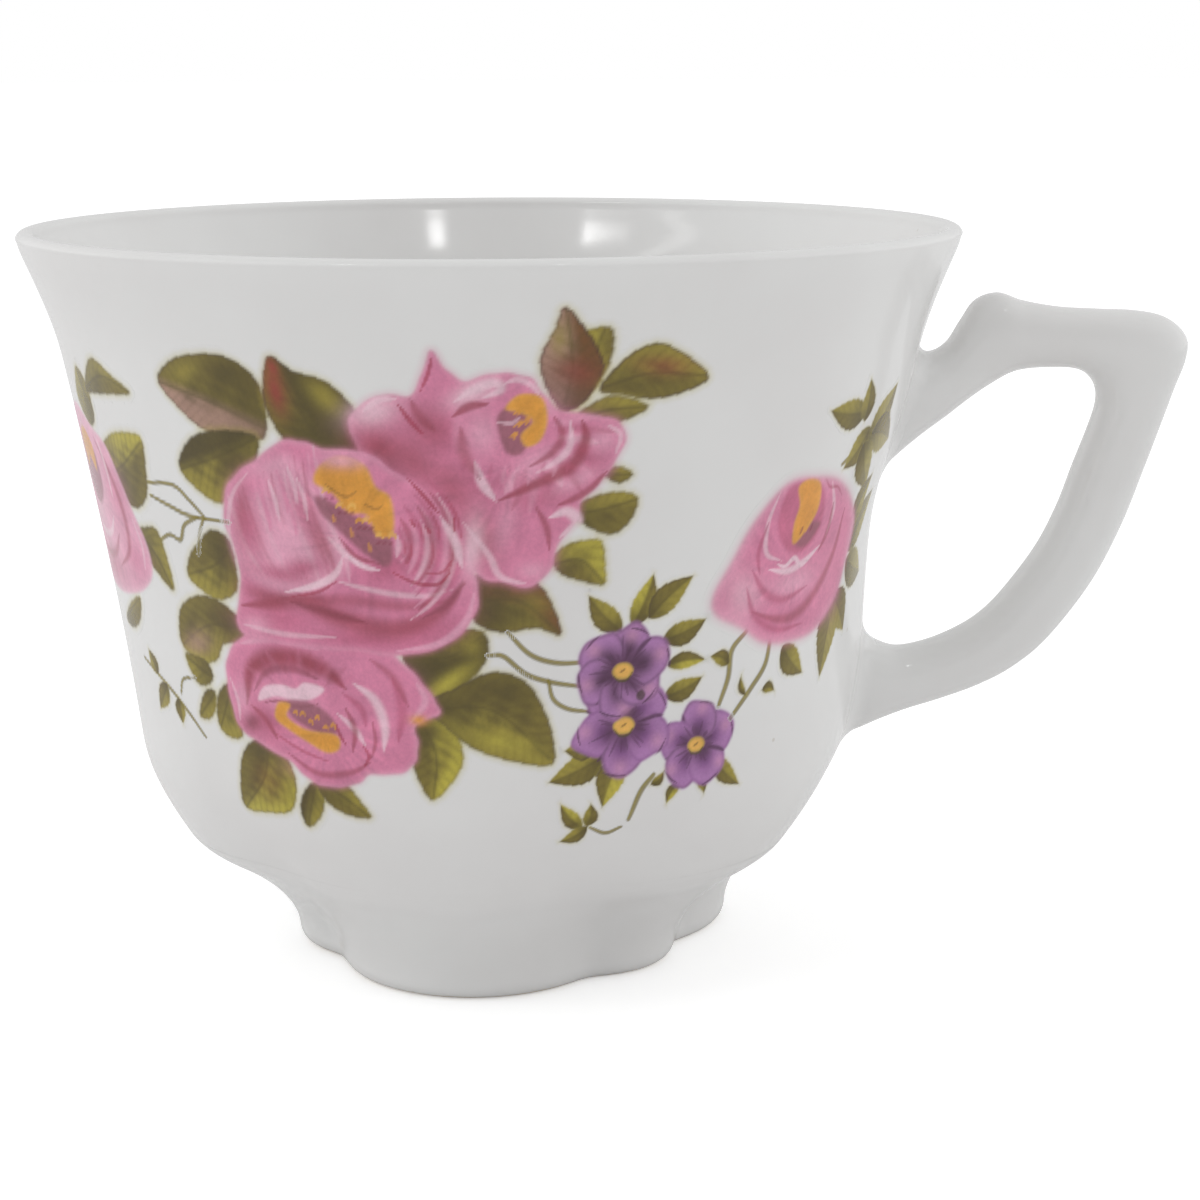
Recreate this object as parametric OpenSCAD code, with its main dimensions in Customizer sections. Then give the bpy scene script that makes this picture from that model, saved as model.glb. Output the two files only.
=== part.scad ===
// Porcelain teacup on a lobed foot, with an ear-shaped handle and a fired rose spray.
// The cup's axis is Z, the table is z = 0, and the handle points along +X.

/* [Bowl] */
// Outer diameter of the lip
rim_d = 92; // [76:1:112]
// Height from the table to the top of the lip
cup_h = 72; // [60:1:88]
// Thickness of the wall
wall_t = 2.4; // [1.8:0.1:3.4]
// Thickness of the rounded lip
lip_t = 1.8; // [1.2:0.1:2.6]
// Thickness of the floor
floor_t = 3; // [2.4:0.1:4]
// Outer diameter at the neck, where the lip starts to flare
neck_d = 84; // [74:1:100]
// Height from the neck up to the lip
flare_h = 12; // [8:0.5:16]
// Outer diameter at the shoulder, where the side turns under
shoulder_d = 71.4; // [64:0.2:86]
// Height from the crease up to the shoulder
shoulder_h = 10.3; // [8:0.1:13]
// Outer diameter of the crease where the bowl meets the foot
crease_d = 62; // [56:1:68]
// Fall of the bowl's underside from the crease to its flat centre
under_fall = 3.8; // [3:0.1:5]

/* [Foot] */
// Height from the table to the crease
foot_h = 11.7; // [10:0.1:15]
// Reach of the three broad lobes from the cup's axis
broad_reach = 24; // [22:0.2:25]
// Radius of a broad lobe
broad_r = 13.2; // [12:0.2:14]
// Reach of the three narrow lobes from the cup's axis
narrow_reach = 21.8; // [20.6:0.2:23]
// Radius of a narrow lobe
narrow_r = 8.1; // [7:0.1:9]
// Radius of the round stem between the lobes
stem_r = 19.2; // [18:0.2:20]
// Thickness of the foot ring
ring_t = 3.2; // [2.4:0.1:4]
// Depth of the lobed hollow under the foot
hollow_h = 4.6; // [3:0.1:5.2]
// Height of the upright part of a lobe
lobe_h = 2; // [1.4:0.1:3]
// Distance inside the foot's top edge at which a lobe's flare ends
lobe_inset = 1.9; // [1.2:0.1:3]
// Rounding of the foot's lower edge
foot_round = 0.8; // [0.4:0.1:1.2]
// Angle from the handle to the nearest broad lobe
lobe_turn = 15; // [0:1:60]

/* [Handle] */
// Distance the handle stands out past the lip
handle_out = 23.3; // [18:0.1:30]
// Fall from the lip to the middle of the handle's top arm
arm_drop = 11.8; // [10:0.1:16]
// Fall from the lip to the middle of the upper root
upper_root_drop = 18.2; // [16:0.1:22]
// Height of the lower root above the table
lower_root_z = 25.2; // [23:0.1:30]
// Thickness of the handle in its own plane
handle_t = 6.3; // [5:0.1:8]
// Width of the handle across its plane
handle_w = 7; // [5:0.1:9]
// Height of the thumb knob above the top arm
knob_h = 1.5; // [0:0.1:3]
// Growth of the handle's section where it spreads into a root
root_spread = 5; // [2:0.1:7]

/* [Joints] */
// Thickness of the luting slip between two joined pieces
slip_t = 0.4; // [0.2:0.05:0.8]
// Bead of slip that shows around a root
slip_bead = 0.5; // [0.2:0.1:1]

/* [Decoration] */
// Thickness of a fired transfer
transfer_t = 0.1; // [0.05:0.01:0.2]
// Angle from the handle to the front spray
front_turn = -104; // [-115:1:-95]
// Angle from the handle to the back spray
back_turn = 104; // [95:1:115]

/* [Hidden] */
$fn = 96;

porcelain = [0.90, 0.91, 0.91];
slip_tone = [0.84, 0.85, 0.84];
rose_pink = [0.87, 0.55, 0.70];
violet_tone = [0.55, 0.36, 0.66];

rim_r = rim_d / 2;
crease_r = crease_d / 2;
shoulder_z = foot_h + shoulder_h;
lip_z = cup_h - lip_t / 2;
neck_z = cup_h - flare_h;
under_z = foot_h - under_fall;
floor_z = under_z + floor_t;
seat_r = broad_reach - broad_r + 5;

// ---- The bowl's outline: a smooth curve through the crease, shoulder, neck and lip ----
crease_slope = 0.64;
shoulder_slope = 0.12;
neck_slope = 0.2;
lip_slope = 0.42;
outline_steps = 32;
floor_steps = 12;

// Cubic curve from a to b over the height h, with end slopes sa and sb
function ease(t, h, a, sa, b, sb) =
    (2*t^3 - 3*t^2 + 1) * a + (t^3 - 2*t^2 + t) * h * sa
    + (3*t^2 - 2*t^3) * b + (t^3 - t^2) * h * sb;
function span(z, z0, z1) = (z - z0) / (z1 - z0);
function outer_r(z) =
    z < shoulder_z ? ease(span(z, foot_h, shoulder_z), shoulder_h,
        crease_r, crease_slope, shoulder_d/2, shoulder_slope)
    : z < neck_z ? ease(span(z, shoulder_z, neck_z), neck_z - shoulder_z,
        shoulder_d/2, shoulder_slope, neck_d/2, neck_slope)
    : ease(span(z, neck_z, lip_z), lip_z - neck_z, neck_d/2, neck_slope, rim_r, lip_slope);
function inner_r(z) =
    outer_r(z) - (z < neck_z ? wall_t : wall_t + (lip_t - wall_t) * span(z, neck_z, lip_z));
function station(i) = foot_h + (lip_z - foot_h) * i / outline_steps;
function outline(first, last, grow) =
    [for (i = [first:last]) [outer_r(station(i)) + grow, station(i)]];

// The hollow's corner, a quarter of an ellipse from the side to the flat floor
flat_floor_r = 12;
corner_i = ceil(outline_steps * span(shoulder_z, foot_h, lip_z));
corner_z = station(corner_i);
function corner(a) = [flat_floor_r + (inner_r(corner_z) - flat_floor_r) * cos(a),
    corner_z - (corner_z - floor_z) * sin(a)];

module bowl() {
    color(porcelain)
        rotate_extrude()
            polygon(concat(
                [[0, under_z], [seat_r, under_z]],
                outline(0, outline_steps, 0),
                [for (a = [22.5:22.5:157.5])
                    [rim_r - lip_t/2 + lip_t/2 * cos(a), lip_z + lip_t/2 * sin(a)]],
                [for (i = [outline_steps:-1:corner_i]) [inner_r(station(i)), station(i)]],
                [for (k = [1:floor_steps]) corner(90 * k / floor_steps)],
                [[0, floor_z]]));
}

// ---- The foot: six lobes that flare up into one round cove under the crease ----
foot_top_r = crease_r - slip_bead;
foot_top_z = foot_h - slip_t;

// Radius of the cove that leaves the stem upright and meets the foot's top edge
cove_r = ((foot_top_r - stem_r)^2 + (foot_top_z - lobe_h)^2) / (2 * (foot_top_r - stem_r));

module coved_stem() {
    rotate_extrude()
        difference() {
            square([foot_top_r, foot_top_z]);
            translate([stem_r + cove_r, lobe_h]) circle(cove_r);
            translate([stem_r, -1]) square([rim_r, lobe_h + 1]);
        }
}

// One lobe about its own axis: a rounded lower edge, an upright band and a flare
module lobe(reach, r) {
    flare = foot_top_r - lobe_inset - reach;
    rotate_extrude()
        polygon(concat(
            [[0, 0]],
            [for (a = [-90:30:0]) [r - foot_round + foot_round * cos(a), foot_round + foot_round * sin(a)]],
            [[r, lobe_h], [r + flare, foot_top_z], [0, foot_top_z]]));
}

// Places its children at the three broad (half = 0) or narrow (half = 1) lobes
module around_foot(half, d) {
    for (k = [0:2])
        rotate([0, 0, lobe_turn + 120*k + 60*half]) translate([d, 0, 0]) children();
}

module foot_hollow() {
    translate([0, 0, -1]) {
        cylinder(r = stem_r - ring_t, h = hollow_h + 1);
        around_foot(0, broad_reach - broad_r) cylinder(r = broad_r - ring_t, h = hollow_h + 1);
        around_foot(1, narrow_reach - narrow_r) cylinder(r = narrow_r - ring_t, h = hollow_h + 1);
        cylinder(r = seat_r, h = foot_h + 1);
    }
}

// Everything above the bowl's underside, lowered by drop
module above_underside(drop) {
    rotate_extrude()
        polygon([[0, under_z - drop], [seat_r, under_z - drop], [crease_r, foot_h - drop],
            [rim_r, foot_h - drop], [rim_r, cup_h], [0, cup_h]]);
}

module foot() {
    color(porcelain)
        difference() {
            union() {
                coved_stem();
                around_foot(0, broad_reach - broad_r) lobe(broad_reach, broad_r);
                around_foot(1, narrow_reach - narrow_r) lobe(narrow_reach, narrow_r);
            }
            foot_hollow();
            above_underside(slip_t);
        }
}

module foot_slip() {
    color(slip_tone)
        rotate_extrude()
            polygon([[seat_r, under_z - slip_t], [seat_r, under_z], [foot_top_r, underside_z(foot_top_r)],
                [foot_top_r, underside_z(foot_top_r) - slip_t]]);
}
function underside_z(r) = under_z + under_fall * (r - seat_r) / (crease_r - seat_r);

// ---- The handle: one closed sweep along a curve, cut to the bowl's side ----
arm_z = cup_h - arm_drop;
upper_root_z = cup_h - upper_root_drop;
handle_tip = rim_r + handle_out;
outer_mid = handle_tip - handle_t/2;
path_steps = 7;
section_sides = 20;
section_power = 2.6;
root_depth = 3;

// Route of the handle's middle line: x, z, thickness in its plane, width across it
function handle_route() = let (
        ux = outer_r(upper_root_z), lx = outer_r(lower_root_z),
        drop = arm_z - lower_root_z) [
    [ux - root_depth, upper_root_z - 1.6, handle_t + root_spread, handle_w + root_spread/2],
    [ux + 0.4, upper_root_z + 0.2, handle_t + root_spread*0.62, handle_w + root_spread/5],
    [ux + 3.6, upper_root_z + 2.1, handle_t + 0.7, handle_w],
    [ux + 7.4, arm_z - 1.2 + knob_h/2, handle_t + knob_h*0.6, handle_w + knob_h*0.3],
    [ux + 10.2, arm_z + knob_h*0.42, handle_t + knob_h*0.8, handle_w + knob_h*0.3],
    [ux + 14.2, arm_z + knob_h*0.08, handle_t, handle_w],
    [outer_mid - 7.4, arm_z - 0.1, handle_t - 0.3, handle_w],
    [outer_mid - 2.6, arm_z - 0.9, handle_t + 0.9, handle_w],
    [outer_mid - 0.7, arm_z - 3.8, handle_t + 1.3, handle_w],
    [outer_mid - 2.1, arm_z - drop*0.22, handle_t + 0.9, handle_w],
    [outer_mid - 5.4, arm_z - drop*0.46, handle_t + 0.2, handle_w - 0.2],
    [outer_mid - 9.3, arm_z - drop*0.67, handle_t, handle_w - 0.3],
    [outer_mid - 14.2, arm_z - drop*0.85, handle_t - 0.1, handle_w - 0.2],
    [(lx + outer_mid)/2 - 5.4, lower_root_z + 2.1, handle_t - 0.2, handle_w],
    [lx + 4.4, lower_root_z + 0.4, handle_t + 0.1, handle_w + root_spread/8],
    [lx + 0.8, lower_root_z - 0.2, handle_t + root_spread*0.5, handle_w + root_spread/5],
    [lx - root_depth, lower_root_z, handle_t + root_spread, handle_w + root_spread/2]];

// Smooth curve through a list of points, and its direction
function through(p, i, t) = let (a = p[max(i - 1, 0)], b = p[i], c = p[i + 1],
        d = p[min(i + 2, len(p) - 1)])
    0.5 * (2*b + (c - a)*t + (2*a - 5*b + 4*c - d)*t^2 + (3*b - a - 3*c + d)*t^3);
function swept(p) = concat(
    [for (i = [0:len(p) - 2], k = [0:path_steps - 1]) through(p, i, k / path_steps)],
    [p[len(p) - 1]]);
function signed_power(v, e) = sign(v) * pow(abs(v), e);
function side_point(s, dir, j) = let (
        a = 360 * j / section_sides,
        across = s[3]/2 * signed_power(cos(a), 2/section_power),
        out = s[2]/2 * signed_power(sin(a), 2/section_power))
    [s[0] - dir[1]*out, across, s[1] + dir[0]*out];
function heading(line, i) = let (
        d = line[min(i + 1, len(line) - 1)] - line[max(i - 1, 0)], l = norm([d[0], d[1]]))
    [d[0]/l, d[1]/l];

module handle_sweep() {
    line = swept(handle_route());
    rings = len(line);
    points = [for (i = [0:rings - 1], j = [0:section_sides - 1]) side_point(line[i], heading(line, i), j)];
    sides = [for (i = [0:rings - 2], j = [0:section_sides - 1])
        [i*section_sides + j, i*section_sides + (j + 1) % section_sides,
            (i + 1)*section_sides + (j + 1) % section_sides, (i + 1)*section_sides + j]];
    polyhedron(points, concat(
        [[for (j = [section_sides - 1:-1:0]) j]],
        sides,
        [[for (j = [0:section_sides - 1]) (rings - 1)*section_sides + j]]), convexity = 8);
}

// The bowl's outside as a solid, grown by the given amount
module bowl_envelope(grow) {
    rotate_extrude()
        polygon(concat([[0, foot_h]], outline(0, outline_steps, grow), [[0, lip_z]]));
}

module handle() {
    color(porcelain)
        difference() {
            handle_sweep();
            bowl_envelope(slip_t);
        }
}

// Rectangle of width w and height h with corners of radius r, centred
module soft_rect(w, h, r) {
    square([w - 2*r, h], center = true);
    square([w, h - 2*r], center = true);
    for (x = [-1, 1], y = [-1, 1])
        translate([x*(w/2 - r), y*(h/2 - r)]) circle(r);
}

// Pad of slip between the bowl's side and a root centred at height z
module root_slip(z) {
    pad_w = handle_w + root_spread*0.4 + 2*slip_bead;
    pad_h = handle_t + root_spread*0.9 + 2*slip_bead;
    color(slip_tone)
        intersection() {
            difference() {
                bowl_envelope(slip_t);
                bowl_envelope(0);
            }
            translate([0, 0, z]) rotate([90, 0, 90])
                linear_extrude(rim_r) soft_rect(pad_w, pad_h, pad_w * 0.4);
        }
}

module upper_root_slip() root_slip(upper_root_z - 0.4);
module lower_root_slip() root_slip(lower_root_z);

// ---- The decoration: fired transfers that lie on the bowl's side ----
transfer_first = 2;
transfer_last = outline_steps - 2;

// Cuts a transfer from a skin on the bowl; children are its outline, across by height
module transfer(turn) {
    intersection() {
        rotate_extrude()
            polygon(concat(outline(transfer_first, transfer_last, transfer_t),
                [for (i = [transfer_last:-1:transfer_first]) [outer_r(station(i)), station(i)]]));
        rotate([0, 0, turn]) rotate([90, 0, 90]) linear_extrude(rim_d) children();
    }
}

module blot(x, z, r) translate([x, z]) circle(r);

module bouquet_outline() {
    blot(-3.2, 46.5, 11.4);
    blot(11, 53.4, 9.6);
    blot(-7.6, 31.4, 8.4);
    blot(-15.5, 56.5, 5.6);
    blot(-17.5, 42.5, 5.2);
    blot(-11.5, 24.6, 4.6);
    blot(8.6, 34.2, 6);
    blot(16.6, 61.5, 5);
}
module violet_outline() {
    blot(-1.6, 34.6, 4.8);
    blot(-1.2, 28.6, 4.8);
    blot(7, 27.4, 4.4);
    blot(6, 34.6, 4.2);
    blot(-5, 23, 3.8);
}
module rosebud_outline() {
    blot(-1, 40.4, 6);
    blot(0.6, 45.2, 5.6);
    blot(9, 53, 4.2);
    blot(8.6, 41, 4.6);
    blot(6.4, 48.4, 3.6);
}
module side_rose_outline() {
    blot(0, 46.8, 9.4);
    blot(2, 56.6, 4.6);
    blot(5.6, 36, 4.4);
    blot(-4, 35, 4);
}

module front_bouquet_transfer() color(rose_pink) transfer(front_turn) bouquet_outline();
module violet_transfer() color(violet_tone) transfer(front_turn + 35) violet_outline();
module rosebud_transfer() color(rose_pink) transfer(front_turn + 58) rosebud_outline();
module side_rose_transfer() color(rose_pink) transfer(front_turn - 57) side_rose_outline();
module back_bouquet_transfer() color(rose_pink) transfer(back_turn) mirror([1, 0]) bouquet_outline();
module back_violet_transfer() color(violet_tone) transfer(back_turn - 35) mirror([1, 0]) violet_outline();

bowl();
foot();
foot_slip();
handle();
upper_root_slip();
lower_root_slip();
front_bouquet_transfer();
violet_transfer();
rosebud_transfer();
side_rose_transfer();
back_bouquet_transfer();
back_violet_transfer();
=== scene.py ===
import math

import bpy
import numpy as np
from mathutils import Matrix, Vector


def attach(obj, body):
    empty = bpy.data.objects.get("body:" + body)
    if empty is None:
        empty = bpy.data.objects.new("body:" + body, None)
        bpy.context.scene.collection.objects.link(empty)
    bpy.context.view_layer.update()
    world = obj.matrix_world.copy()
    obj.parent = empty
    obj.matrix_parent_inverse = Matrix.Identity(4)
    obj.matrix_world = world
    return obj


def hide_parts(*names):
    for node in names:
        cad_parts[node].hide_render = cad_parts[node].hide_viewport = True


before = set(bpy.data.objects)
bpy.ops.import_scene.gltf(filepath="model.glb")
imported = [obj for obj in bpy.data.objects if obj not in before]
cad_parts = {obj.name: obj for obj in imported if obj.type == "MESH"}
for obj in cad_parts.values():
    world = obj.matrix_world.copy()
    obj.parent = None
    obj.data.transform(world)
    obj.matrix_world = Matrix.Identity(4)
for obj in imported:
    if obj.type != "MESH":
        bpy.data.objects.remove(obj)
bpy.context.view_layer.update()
mm = 0.001  # every size below is in millimetres and is turned to metres by this


def toLinear(hexColour):
    # sRGB hex to the linear values the shaders want
    channels = [int(hexColour[i:i + 2], 16) / 255 for i in (1, 3, 5)]
    return [c / 12.92 if c <= 0.04045 else ((c + 0.055) / 1.055) ** 2.4 for c in channels]


def addNode(tree, kind, settings=None, links=None):
    # settings are sockets by name or number, or else the node's own options
    node = tree.nodes.new(kind)
    for key, value in (settings or {}).items():
        if isinstance(key, int) or key in node.inputs:
            node.inputs[key].default_value = value
        else:
            setattr(node, key, value)
    for key, (source, output) in (links or {}).items():
        tree.links.new(source.outputs[output], node.inputs[key])
    return node


def deselectAll():
    if bpy.context.object and bpy.context.object.mode != "OBJECT":
        bpy.ops.object.mode_set(mode="OBJECT")
    bpy.ops.object.select_all(action="DESELECT")


def ease(t, span, a, slopeA, b, slopeB):
    # cubic from a to b over a length, with the slope at each end
    return ((2 * t ** 3 - 3 * t ** 2 + 1) * a + (t ** 3 - 2 * t ** 2 + t) * span * slopeA
            + (3 * t ** 2 - 2 * t ** 3) * b + (t ** 3 - t ** 2) * span * slopeB)


def fade(x, low, high):
    t = np.clip((np.asarray(x, float) - low) / (high - low), 0, 1)
    return t * t * (3 - 2 * t)


def smoothLine(points, steps=8, closed=False):
    # soft curve through given points, of any number of values each
    p = np.array(points, float)
    if closed:
        p = np.vstack([p[-1], p, p[0], p[1]])
    else:
        p = np.vstack([2 * p[0] - p[1], p, 2 * p[-1] - p[-2]])
    t = np.linspace(0, 1, steps, endpoint=False)[:, None]
    rows = []
    for i in range(len(p) - 3):
        a, b, c, d = p[i:i + 4]
        rows.append(0.5 * (2 * b + (c - a) * t + (2 * a - 5 * b + 4 * c - d) * t ** 2
                           + (3 * b - a - 3 * c + d) * t ** 3))
    if not closed:
        rows.append(p[-2:-1])
    return np.vstack(rows)


# camera, in millimetres and degrees
view = {
    "height": 89.6, "back": 271.2, "lens": 82.05, "sensor": 36,
    "down": 11.57, "right": 2.22, "roll": -0.23,
}

camera = bpy.data.cameras.new("studioCamera")
camera.lens = view["lens"]
camera.sensor_width = view["sensor"]
camera.clip_start = 0.01
cameraObject = bpy.data.objects.new("studioCamera", camera)
bpy.context.scene.collection.objects.link(cameraObject)
heading = Matrix.Rotation(math.radians(-view["right"]), 4, "Z")
tilt = Matrix.Rotation(math.radians(90 - view["down"]), 4, "X")
roll = Matrix.Rotation(math.radians(view["roll"]), 4, "Z")
cameraObject.matrix_world = (Matrix.Translation((0, -view["back"] * mm, view["height"] * mm))
                             @ heading @ tilt @ roll)
bpy.context.scene.camera = cameraObject
bpy.context.scene.view_settings.view_transform = "Standard"

# soft light all round: a bright room to the left and right, dim behind the camera
roomLight = {"left": 1.52, "right": 1.42, "front": 0.34, "back": 0.68, "top": 0.66, "backdrop": 1.0}
white = (1, 1, 1, 1)

world = bpy.data.worlds.new("softRoom")
bpy.context.scene.world = world
world.use_nodes = True
tree = world.node_tree
tree.nodes.clear()
direction = addNode(tree, "ShaderNodeTexCoord")
axes = addNode(tree, "ShaderNodeSeparateXYZ", links={0: (direction, "Generated")})
total = None
for side, axis, sign in (("left", 0, -1), ("right", 0, 1), ("front", 1, -1), ("back", 1, 1), ("top", 2, 1)):
    facing = addNode(tree, "ShaderNodeMath", {"operation": "MULTIPLY", 1: sign}, {0: (axes, axis)})
    facing = addNode(tree, "ShaderNodeMath", {"operation": "MAXIMUM", 1: 0.0}, {0: (facing, 0)})
    share = addNode(tree, "ShaderNodeMath", {"operation": "POWER", 1: 2.0}, {0: (facing, 0)})
    lit = addNode(tree, "ShaderNodeMath", {"operation": "MULTIPLY", 1: roomLight[side]}, {0: (share, 0)})
    if total:
        lit = addNode(tree, "ShaderNodeMath", {"operation": "ADD"}, {0: (total, 0), 1: (lit, 0)})
    total = lit
rays = addNode(tree, "ShaderNodeLightPath")
roomGlow = addNode(tree, "ShaderNodeBackground", {"Color": white}, {"Strength": (total, 0)})
backdrop = addNode(tree, "ShaderNodeBackground", {"Color": white, "Strength": roomLight["backdrop"]})
seen = addNode(tree, "ShaderNodeMixShader",
               links={0: (rays, "Is Camera Ray"), 1: (roomGlow, 0), 2: (backdrop, 0)})
addNode(tree, "ShaderNodeOutputWorld", links={"Surface": (seen, 0)})

# windows behind the camera, small and bright: they show as glints in the glaze
windowLight = {
    "aim": (0, 0.04, 0.068),   # metres: the inside of the far wall
    # degrees to the right of the camera, degrees up, width and height at 1 m, brightness
    "windows": [(19.2, 49, 0.055, 0.034, 20), (-39.9, 48.6, 0.19, 0.022, 24), (-69, 43.6, 0.6, 0.028, 2.4)],
}
for number, (turn, rise, wide, high, strength) in enumerate(windowLight["windows"]):
    deselectAll()
    a, b = math.radians(turn), math.radians(rise)
    place = Vector((math.sin(a) * math.cos(b), -math.cos(a) * math.cos(b), math.sin(b)))
    bpy.ops.object.light_add(type="AREA", location=place + Vector(windowLight["aim"]))
    lamp = bpy.context.object
    lamp.name = f"window{number}"
    lamp.rotation_euler = place.to_track_quat("Z", "Y").to_euler()
    lamp.data.shape = "RECTANGLE"
    lamp.data.size = wide
    lamp.data.size_y = high
    lamp.data.energy = strength * math.pi * wide * high

# matt white table paint: evenly white to the camera, and a soft white bounce on the clay
table = {"radius": 6, "bounce": 0.9, "paint": 0.86, "lift": 0.42}
deselectAll()
bpy.ops.mesh.primitive_circle_add(vertices=96, radius=table["radius"], fill_type="NGON", location=(0, 0, 0))
floor = bpy.context.object
floor.name = "studioTable"
tablePaint = bpy.data.materials.new("matt white table paint")
tablePaint.use_nodes = True
tree = tablePaint.node_tree
tree.nodes.clear()
near = addNode(tree, "ShaderNodeLightPath")
bounce = addNode(tree, "ShaderNodeBsdfDiffuse", {"Color": (table["bounce"],) * 3 + (1,)})
lift = addNode(tree, "ShaderNodeEmission", {"Color": white, "Strength": table["lift"]})
paint = addNode(tree, "ShaderNodeBsdfDiffuse", {"Color": (table["paint"],) * 3 + (1,)})
lifted = addNode(tree, "ShaderNodeAddShader", links={0: (lift, 0), 1: (paint, 0)})
shown = addNode(tree, "ShaderNodeMixShader",
                links={0: (near, "Is Camera Ray"), 1: (bounce, 0), 2: (lifted, 0)})
addNode(tree, "ShaderNodeOutputMaterial", links={"Surface": (shown, 0)})
floor.data.materials.append(tablePaint)
print("camera, light and table are set")


# the prints are painted on sheets of the cup's side; a place on a sheet is (u, v) in millimetres:
# u runs round the cup to the right from the front, v is the height
palette = {
    "pale": "#d6b5c1",       # rolled petal lips, almost bare glaze
    "blush": "#ce95ab",      # lit petals
    "pink": "#c47694",       # the print's main rose pink
    "rose": "#ab5672",       # half shade
    "deep": "#8f3c4c",       # shade under a petal
    "wine": "#752e3b",       # deepest folds
    "magenta": "#993349",    # fine pen lines
    "mauve": "#86505c",      # shade in the heart
    "ochre": "#c88a33",      # stamens
    "straw": "#cfa04f",      # lit stamens
    "moss": "#4a3f17",       # darkest leaf green
    "olive": "#6f6225",      # half-lit leaf
    "leaf": "#8d8030",       # lit leaf
    "lime": "#a89c38",       # yellow-green new leaf
    "umber": "#6b4520",      # autumn brown on leaves
    "russet": "#85392c",     # red tips
    "dusk": "#9d7c6d",       # pinkish back of a leaf
    "lilac": "#a070a2",      # lit violet petal
    "violet": "#74457a",     # violet petal
    "plum": "#4a2844",       # violet shade
    "ink": "#3d2e22",        # fine outlines
}


def colourOf(name):
    return np.array(toLinear(palette[name]))


def newSheet(left, right, low, high, cell, seed):
    columns = int((right - left) / cell) + 1
    rows = int((high - low) / cell) + 1
    u, v = np.meshgrid(np.linspace(left, right, columns), np.linspace(low, high, rows))
    return {"u": u, "v": v, "colour": np.ones(u.shape + (3,)) * colourOf("blush"),
            "cover": np.zeros(u.shape), "rng": np.random.default_rng(seed)}


def window(sheet, points, margin):
    # the part of the sheet that a shape can touch
    low, high = points.min(0) - margin, points.max(0) + margin
    u, v = sheet["u"][0], sheet["v"][:, 0]
    return (slice(*np.searchsorted(v, [low[1], high[1]])), slice(*np.searchsorted(u, [low[0], high[0]])))


def lay(sheet, part, amount, colour, inside=False):
    # paint over what is there; inside=True keeps to what is already painted
    cover = sheet["cover"][part]
    if inside:
        amount = amount * cover
    colour = colourOf(colour) if isinstance(colour, str) else colour
    kept = (cover * (1 - amount))[..., None]
    total = np.maximum(cover + amount - cover * amount, 1e-6)
    sheet["colour"][part] = (sheet["colour"][part] * kept + colour * amount[..., None]) / total[..., None]
    sheet["cover"][part] = total


def toLine(u, v, line):
    # distance to a line, how far along it (0 to 1), and which side
    best = np.full(u.shape, 1e9)
    along = np.zeros(u.shape)
    side = np.zeros(u.shape)
    count = len(line) - 1
    for i in range(count):
        a, d = line[i], line[i + 1] - line[i]
        size = max(float(d @ d), 1e-12)
        t = np.clip(((u - a[0]) * d[0] + (v - a[1]) * d[1]) / size, 0, 1)
        du, dv = u - a[0] - t * d[0], v - a[1] - t * d[1]
        gap = du * du + dv * dv
        near = gap < best
        best = np.where(near, gap, best)
        along = np.where(near, (i + t) / count, along)
        side = np.where(near, np.sign(d[0] * dv - d[1] * du), side)
    return np.sqrt(best), along, side


def insideOf(u, v, line):
    # True within a closed line
    hit = np.zeros(u.shape, bool)
    for (x0, y0), (x1, y1) in zip(line, np.roll(line, -1, axis=0)):
        if y0 != y1:
            hit ^= ((y0 > v) != (y1 > v)) & (u < (x1 - x0) * (v - y0) / (y1 - y0) + x0)
    return hit


def patch(sheet, outline, colour, soft=0.14, amount=1.0, inside=False, edge=None, ruffle=0.0, halo=0.0):
    # a filled soft-edged shape; edge=(colour, width, amount) draws a band just inside its outline
    line = smoothLine(outline, 6, closed=True)
    part = window(sheet, line, soft * 3 + halo)
    u, v = sheet["u"][part], sheet["v"][part]
    gap, along, _ = toLine(u, v, np.vstack([line, line[:1]]))
    depth = np.where(insideOf(u, v, line), gap, -gap) + ruffle * np.sin(along * 2 * np.pi * 23)
    mask = fade(depth, -soft, soft) * amount
    if halo:
        lay(sheet, part, fade(depth, -halo, 0.1) * 0.3, colour)
    lay(sheet, part, mask, colour, inside)
    if edge:
        bandColour, width, strength = edge
        band = np.exp(-(np.maximum(depth, 0) / width) ** 2) * strength
        lay(sheet, part, band * mask, bandColour, True)


def brush(sheet, points, width, colour, amount=1.0, soft=0.5, inside=True, taper=1.0):
    # a stroke of a loaded brush, widest in its middle; soft is the share of its width that fades
    line = smoothLine(points, 8)
    part = window(sheet, line, width)
    gap, along, _ = toLine(sheet["u"][part], sheet["v"][part], line)
    reach = width / 2 * (1 - taper + taper * np.sin(np.pi * np.clip(along, 0.02, 0.98)) ** 0.7)
    lay(sheet, part, (1 - fade(gap, reach * (1 - soft), reach * (1 + soft * 0.6))) * amount, colour, inside)


def wash(sheet, centre, reach, colour, amount=0.6, turn=0, inside=True):
    # an airbrushed cloud of colour
    reach = reach if isinstance(reach, tuple) else (reach, reach)
    part = window(sheet, np.array([centre]), max(reach) * 2.2)
    u, v = sheet["u"][part] - centre[0], sheet["v"][part] - centre[1]
    c, s = math.cos(math.radians(turn)), math.sin(math.radians(turn))
    spread = ((u * c + v * s) / reach[0]) ** 2 + ((v * c - u * s) / reach[1]) ** 2
    lay(sheet, part, np.exp(-spread) * amount, colour, inside)


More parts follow.
